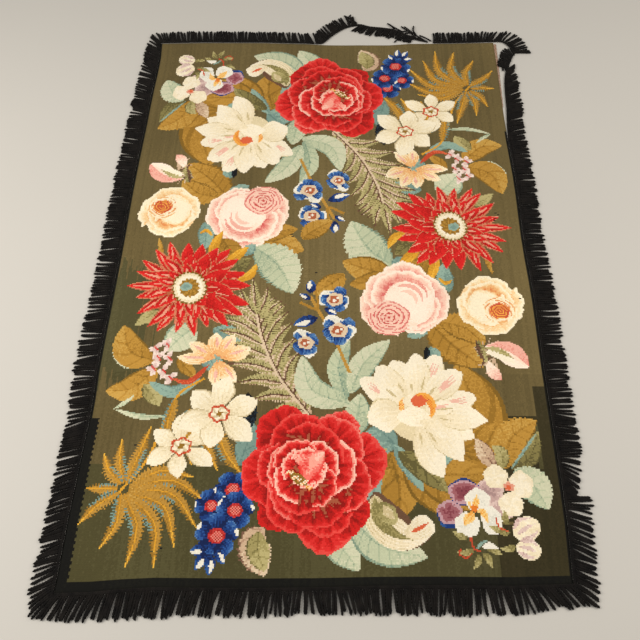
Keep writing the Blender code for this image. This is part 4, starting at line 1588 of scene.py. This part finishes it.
def plait(line, twist_at=None):
    """The strands of the heading, plaited flat."""
    count = max(int(line.length / PLAIT_PITCH * PLAIT_STEPS), 8)
    strands = []
    for strand in range(PLAIT_STRANDS):
        places, sizes, turns = [], [], []
        for step in range(count + 1):
            length = line.length * step / count
            phase = 2 * math.pi * (length / PLAIT_PITCH + strand / PLAIT_STRANDS)
            aside = math.sin(phase) * (PLAIT_WIDTH / 2 - PLAIT_INSET)
            over = math.sin(2 * phase) * PLAIT_OVER
            spot, _ = line.at(length)
            if twist_at is not None:
                pinch = math.pi * smooth_step(min(max((length - twist_at) / TWIST_REACH / 2 + 0.5, 0), 1))
                raised = abs(aside * math.sin(pinch))
                aside = aside * math.cos(pinch) - over * math.sin(pinch)
                over = raised + over
            middle = spot + line.outward(length) * (PLAIT_WIDTH / 2 - SEAM_LAP + aside)
            places.append((middle.x, middle.y, PLAIT_HEIGHT + over))
            sizes.append(1.0)
            turns.append(0.0)
        strands.append((places, sizes, turns))
    return strands


def cord_size(gone):
    """A cord is gathered thin under the heading, and rounded where it turns back at its tip."""
    return min(0.6 + gone * 3.5, 1.0) * (0.5 if gone == 1 else (0.88 if gone > 0.95 else 1.0))


def stray_cords(paths, seed):
    """Cords that have worked loose, each along its own path in mm."""
    lot = random.Random(seed)
    strands = []
    for path in paths:
        points = curve(path, CORD_RINGS - 1)
        steps = np.linalg.norm(np.diff(points, axis=0), axis=1) * MM
        run = np.concatenate([[0], np.cumsum(steps)])
        rise = lot.uniform(0.001, 0.004)
        gone = run / run[-1]
        heights = CORD_RADIUS * 0.9 + rise * np.sin(math.pi * gone)
        places = np.column_stack([points * MM, heights])
        sizes = [0.82 * (0.5 if at == 1 or at == 0 else 1.0) for at in gone]
        strands.append((places, sizes, list(2 * math.pi * run / CORD_TURN)))
    return strands


def cords(line, table, seed):
    """The twisted cords of one fringe. They lean together in clumps, and each ends in a loop."""
    lot = random.Random(seed)
    count = int(line.length / CORD_PITCH)
    lean = [lot.uniform(-1, 1) for _ in range(count // 4 + 3)]
    strands = []
    for number in range(count):
        share = (number + 0.5) / count
        degrees, reach, side = read_table(table, share)
        side = 1 if side > 0 else -1
        group, part = divmod(number / 4, 1)
        clump = lean[int(group)] * (1 - smooth_step(part)) + lean[int(group) + 1] * smooth_step(part)
        angle = math.radians(degrees + clump * CORD_CLUMPS + lot.uniform(-1, 1) * CORD_JITTER)
        reach = reach * MM * (1 + lot.uniform(-0.12, 0.07)) + HEADING_WIDTH - CORD_ROOT
        curl = math.radians(lot.uniform(-16, 16))
        length = line.length * share + lot.uniform(-0.15, 0.15) * CORD_PITCH
        spot, _ = line.at(length)
        place = spot + line.outward(length) * (HEADING_GAP + CORD_ROOT)
        start_turn = lot.uniform(0, 2 * math.pi)
        rise = lot.uniform(0.0, 0.0014)
        places, sizes, turns = [], [], []
        for ring in range(CORD_RINGS):
            gone = ring / (CORD_RINGS - 1)
            if ring:
                bent = angle + curl * (gone - 0.5)
                place = place + Vector((math.cos(bent), math.sin(bent))) * reach / (CORD_RINGS - 1)
            size = cord_size(gone)
            places.append((place.x, place.y, CORD_RADIUS * size + rise * math.sin(math.pi * gone) + 0.0002))
            sizes.append(size)
            turns.append(start_turn + 2 * math.pi * gone * reach / CORD_TURN)
        strands.append((places, sizes, turns))
    return strands


def make_fringe(node, points, table, seed, materials, twist_at=None):
    line = Line(points)
    twist_at = line.length * twist_at if twist_at else None
    strands = cords(line, table, seed) + stray_cords(STRAYS.get(node, ()), seed)
    hanging = show(f"{node}_cords", sweep(f"{node}_cords", strands, CORD_SECTION), materials[0])
    heading = show(
        f"{node}_heading", sweep(f"{node}_heading", plait(line, twist_at), PLAIT_SECTION), materials[1]
    )
    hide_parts(node)
    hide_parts(node)
    return [hanging, heading]


# ---- the sliver of backing cloth ----

BACKING_THICK = 0.0012
BACKING_BOTTOM = 0.610
BACKING_TOP = 0.922
BACKING_WIDTH = (0.002, 0.009)
BACKING_TEAR = 0.0007
BACKING_WAVE = 0.0003
BACKING_COLUMNS = 4
BACKING_ROWS = 110


def make_backing(material):
    """The torn edge of the backing linen that shows where the fringe has come away."""
    bm = bmesh.new()
    bmesh.ops.create_grid(bm, x_segments=BACKING_COLUMNS, y_segments=BACKING_ROWS, size=0.5)
    mesh = bpy.data.meshes.new("backing_edge_linen")
    bm.to_mesh(mesh)
    bm.free()
    across, along = shares_of(mesh)
    y = BACKING_BOTTOM + (BACKING_TOP - BACKING_BOTTOM) * along
    edge, _, _ = panel_places(np.ones_like(y), y / PANEL_LENGTH + 0.5)
    row = np.rint(along * BACKING_ROWS).astype(int)
    torn = np.random.default_rng(5).uniform(-1, 1, BACKING_ROWS + 1)[row]
    narrow, wide = BACKING_WIDTH
    width = narrow + (wide - narrow) * along + BACKING_TEAR * torn * (along > 0.05)
    x = edge + HEADING_GAP + width * across
    move_to(mesh, x, y, BACKING_WAVE * (1 + np.sin(along * 37)) * across)
    strip = show("backing_edge_linen", mesh, material)
    thickness = strip.modifiers.new("cloth_thickness", "SOLIDIFY")
    thickness.thickness = BACKING_THICK
    thickness.offset = 1.0
    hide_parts("backing_edge")
    return strip


def section_points(sides, shape):
    return [shape(2 * math.pi * side / sides) for side in range(sides)]


def two_ply(angle):
    """The two plies of a cord side by side."""
    reach = CORD_RADIUS * (0.84 + 0.16 * math.cos(2 * angle))
    return reach * math.cos(angle), reach * math.sin(angle)


def plait_strand(angle):
    return PLAIT_STRAND[0] * math.cos(angle), PLAIT_STRAND[1] * math.sin(angle)


CORD_SECTION = section_curve("cord_section", section_points(CORD_SIDES, two_ply))
PLAIT_SECTION = section_curve("plait_section", section_points(6, plait_strand))

# The lining's dark colour 5d4f3b is painted shade between the threads, and a8967a is painted glints.
canvas_cloth = make_canvas(linen_material("lining_linen", "8d7a5e", "5d4f3b", "a8967a", 0.9))
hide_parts("embroidered_panel")
chart = design()
stitched = make_stitches(chart, wool_material())

corded = black_wool_material("black_wool_cord", 1500.0)
plaited = black_wool_material("black_wool_plait", 1100.0)
left, bottom, right, top = (edge_points(side) for side in ("left", "bottom", "right", "top"))
past = Vector((0, HEADING_WIDTH + HEADING_GAP))
clear = Vector((HEADING_GAP, 0))
side_line = smooth_line(SIDE_PATH)
LINES = {
    "fringe_left": ([left[0] + past, *left, left[-1] - past], CORDS_LEFT),
    "fringe_bottom": ([bottom[0] + clear, *bottom[1:-1], bottom[-1] - clear], CORDS_BOTTOM),
    "fringe_right": (
        [right[0] - past, *[p for p in right if p.y < side_line[0].y - SIDE_JOIN], *side_line], CORDS_RIGHT,
    ),
    "fringe_top_right": (
        [
            *smooth_line(CORNER_PATH), *[p for p in top if TOP_BARE_RIGHT < p.x < TOP_CORNER],
            edge_at(top, TOP_BARE_RIGHT)
        ],
        CORDS_TOP_RIGHT,
    ),
    "fringe_top_left": (
        [
            edge_at(top, TOP_BARE_LEFT), *[p for p in top if p.x < TOP_BARE_LEFT][:-1], top[-1] + clear
        ], CORDS_TOP_LEFT,
    ),
    "fringe_loose_end": (smooth_line(LOOSE_PATH), CORDS_LOOSE),
}
fringes = []
for seed, (node, (points, table)) in enumerate(LINES.items(), 11):
    twist = TWIST_SHARE if node == "fringe_loose_end" else None
    fringes += make_fringe(node, points, table, seed, (corded, plaited), twist)
# The backing's dark colour 6f5242 is painted shade between the threads, and d8cdbd is painted glints.
backing = make_backing(linen_material("backing_linen", "a5826b", "6f5242", "d8cdbd", 1.1))
for section in (CORD_SECTION, PLAIT_SECTION):
    bpy.data.objects.remove(section)
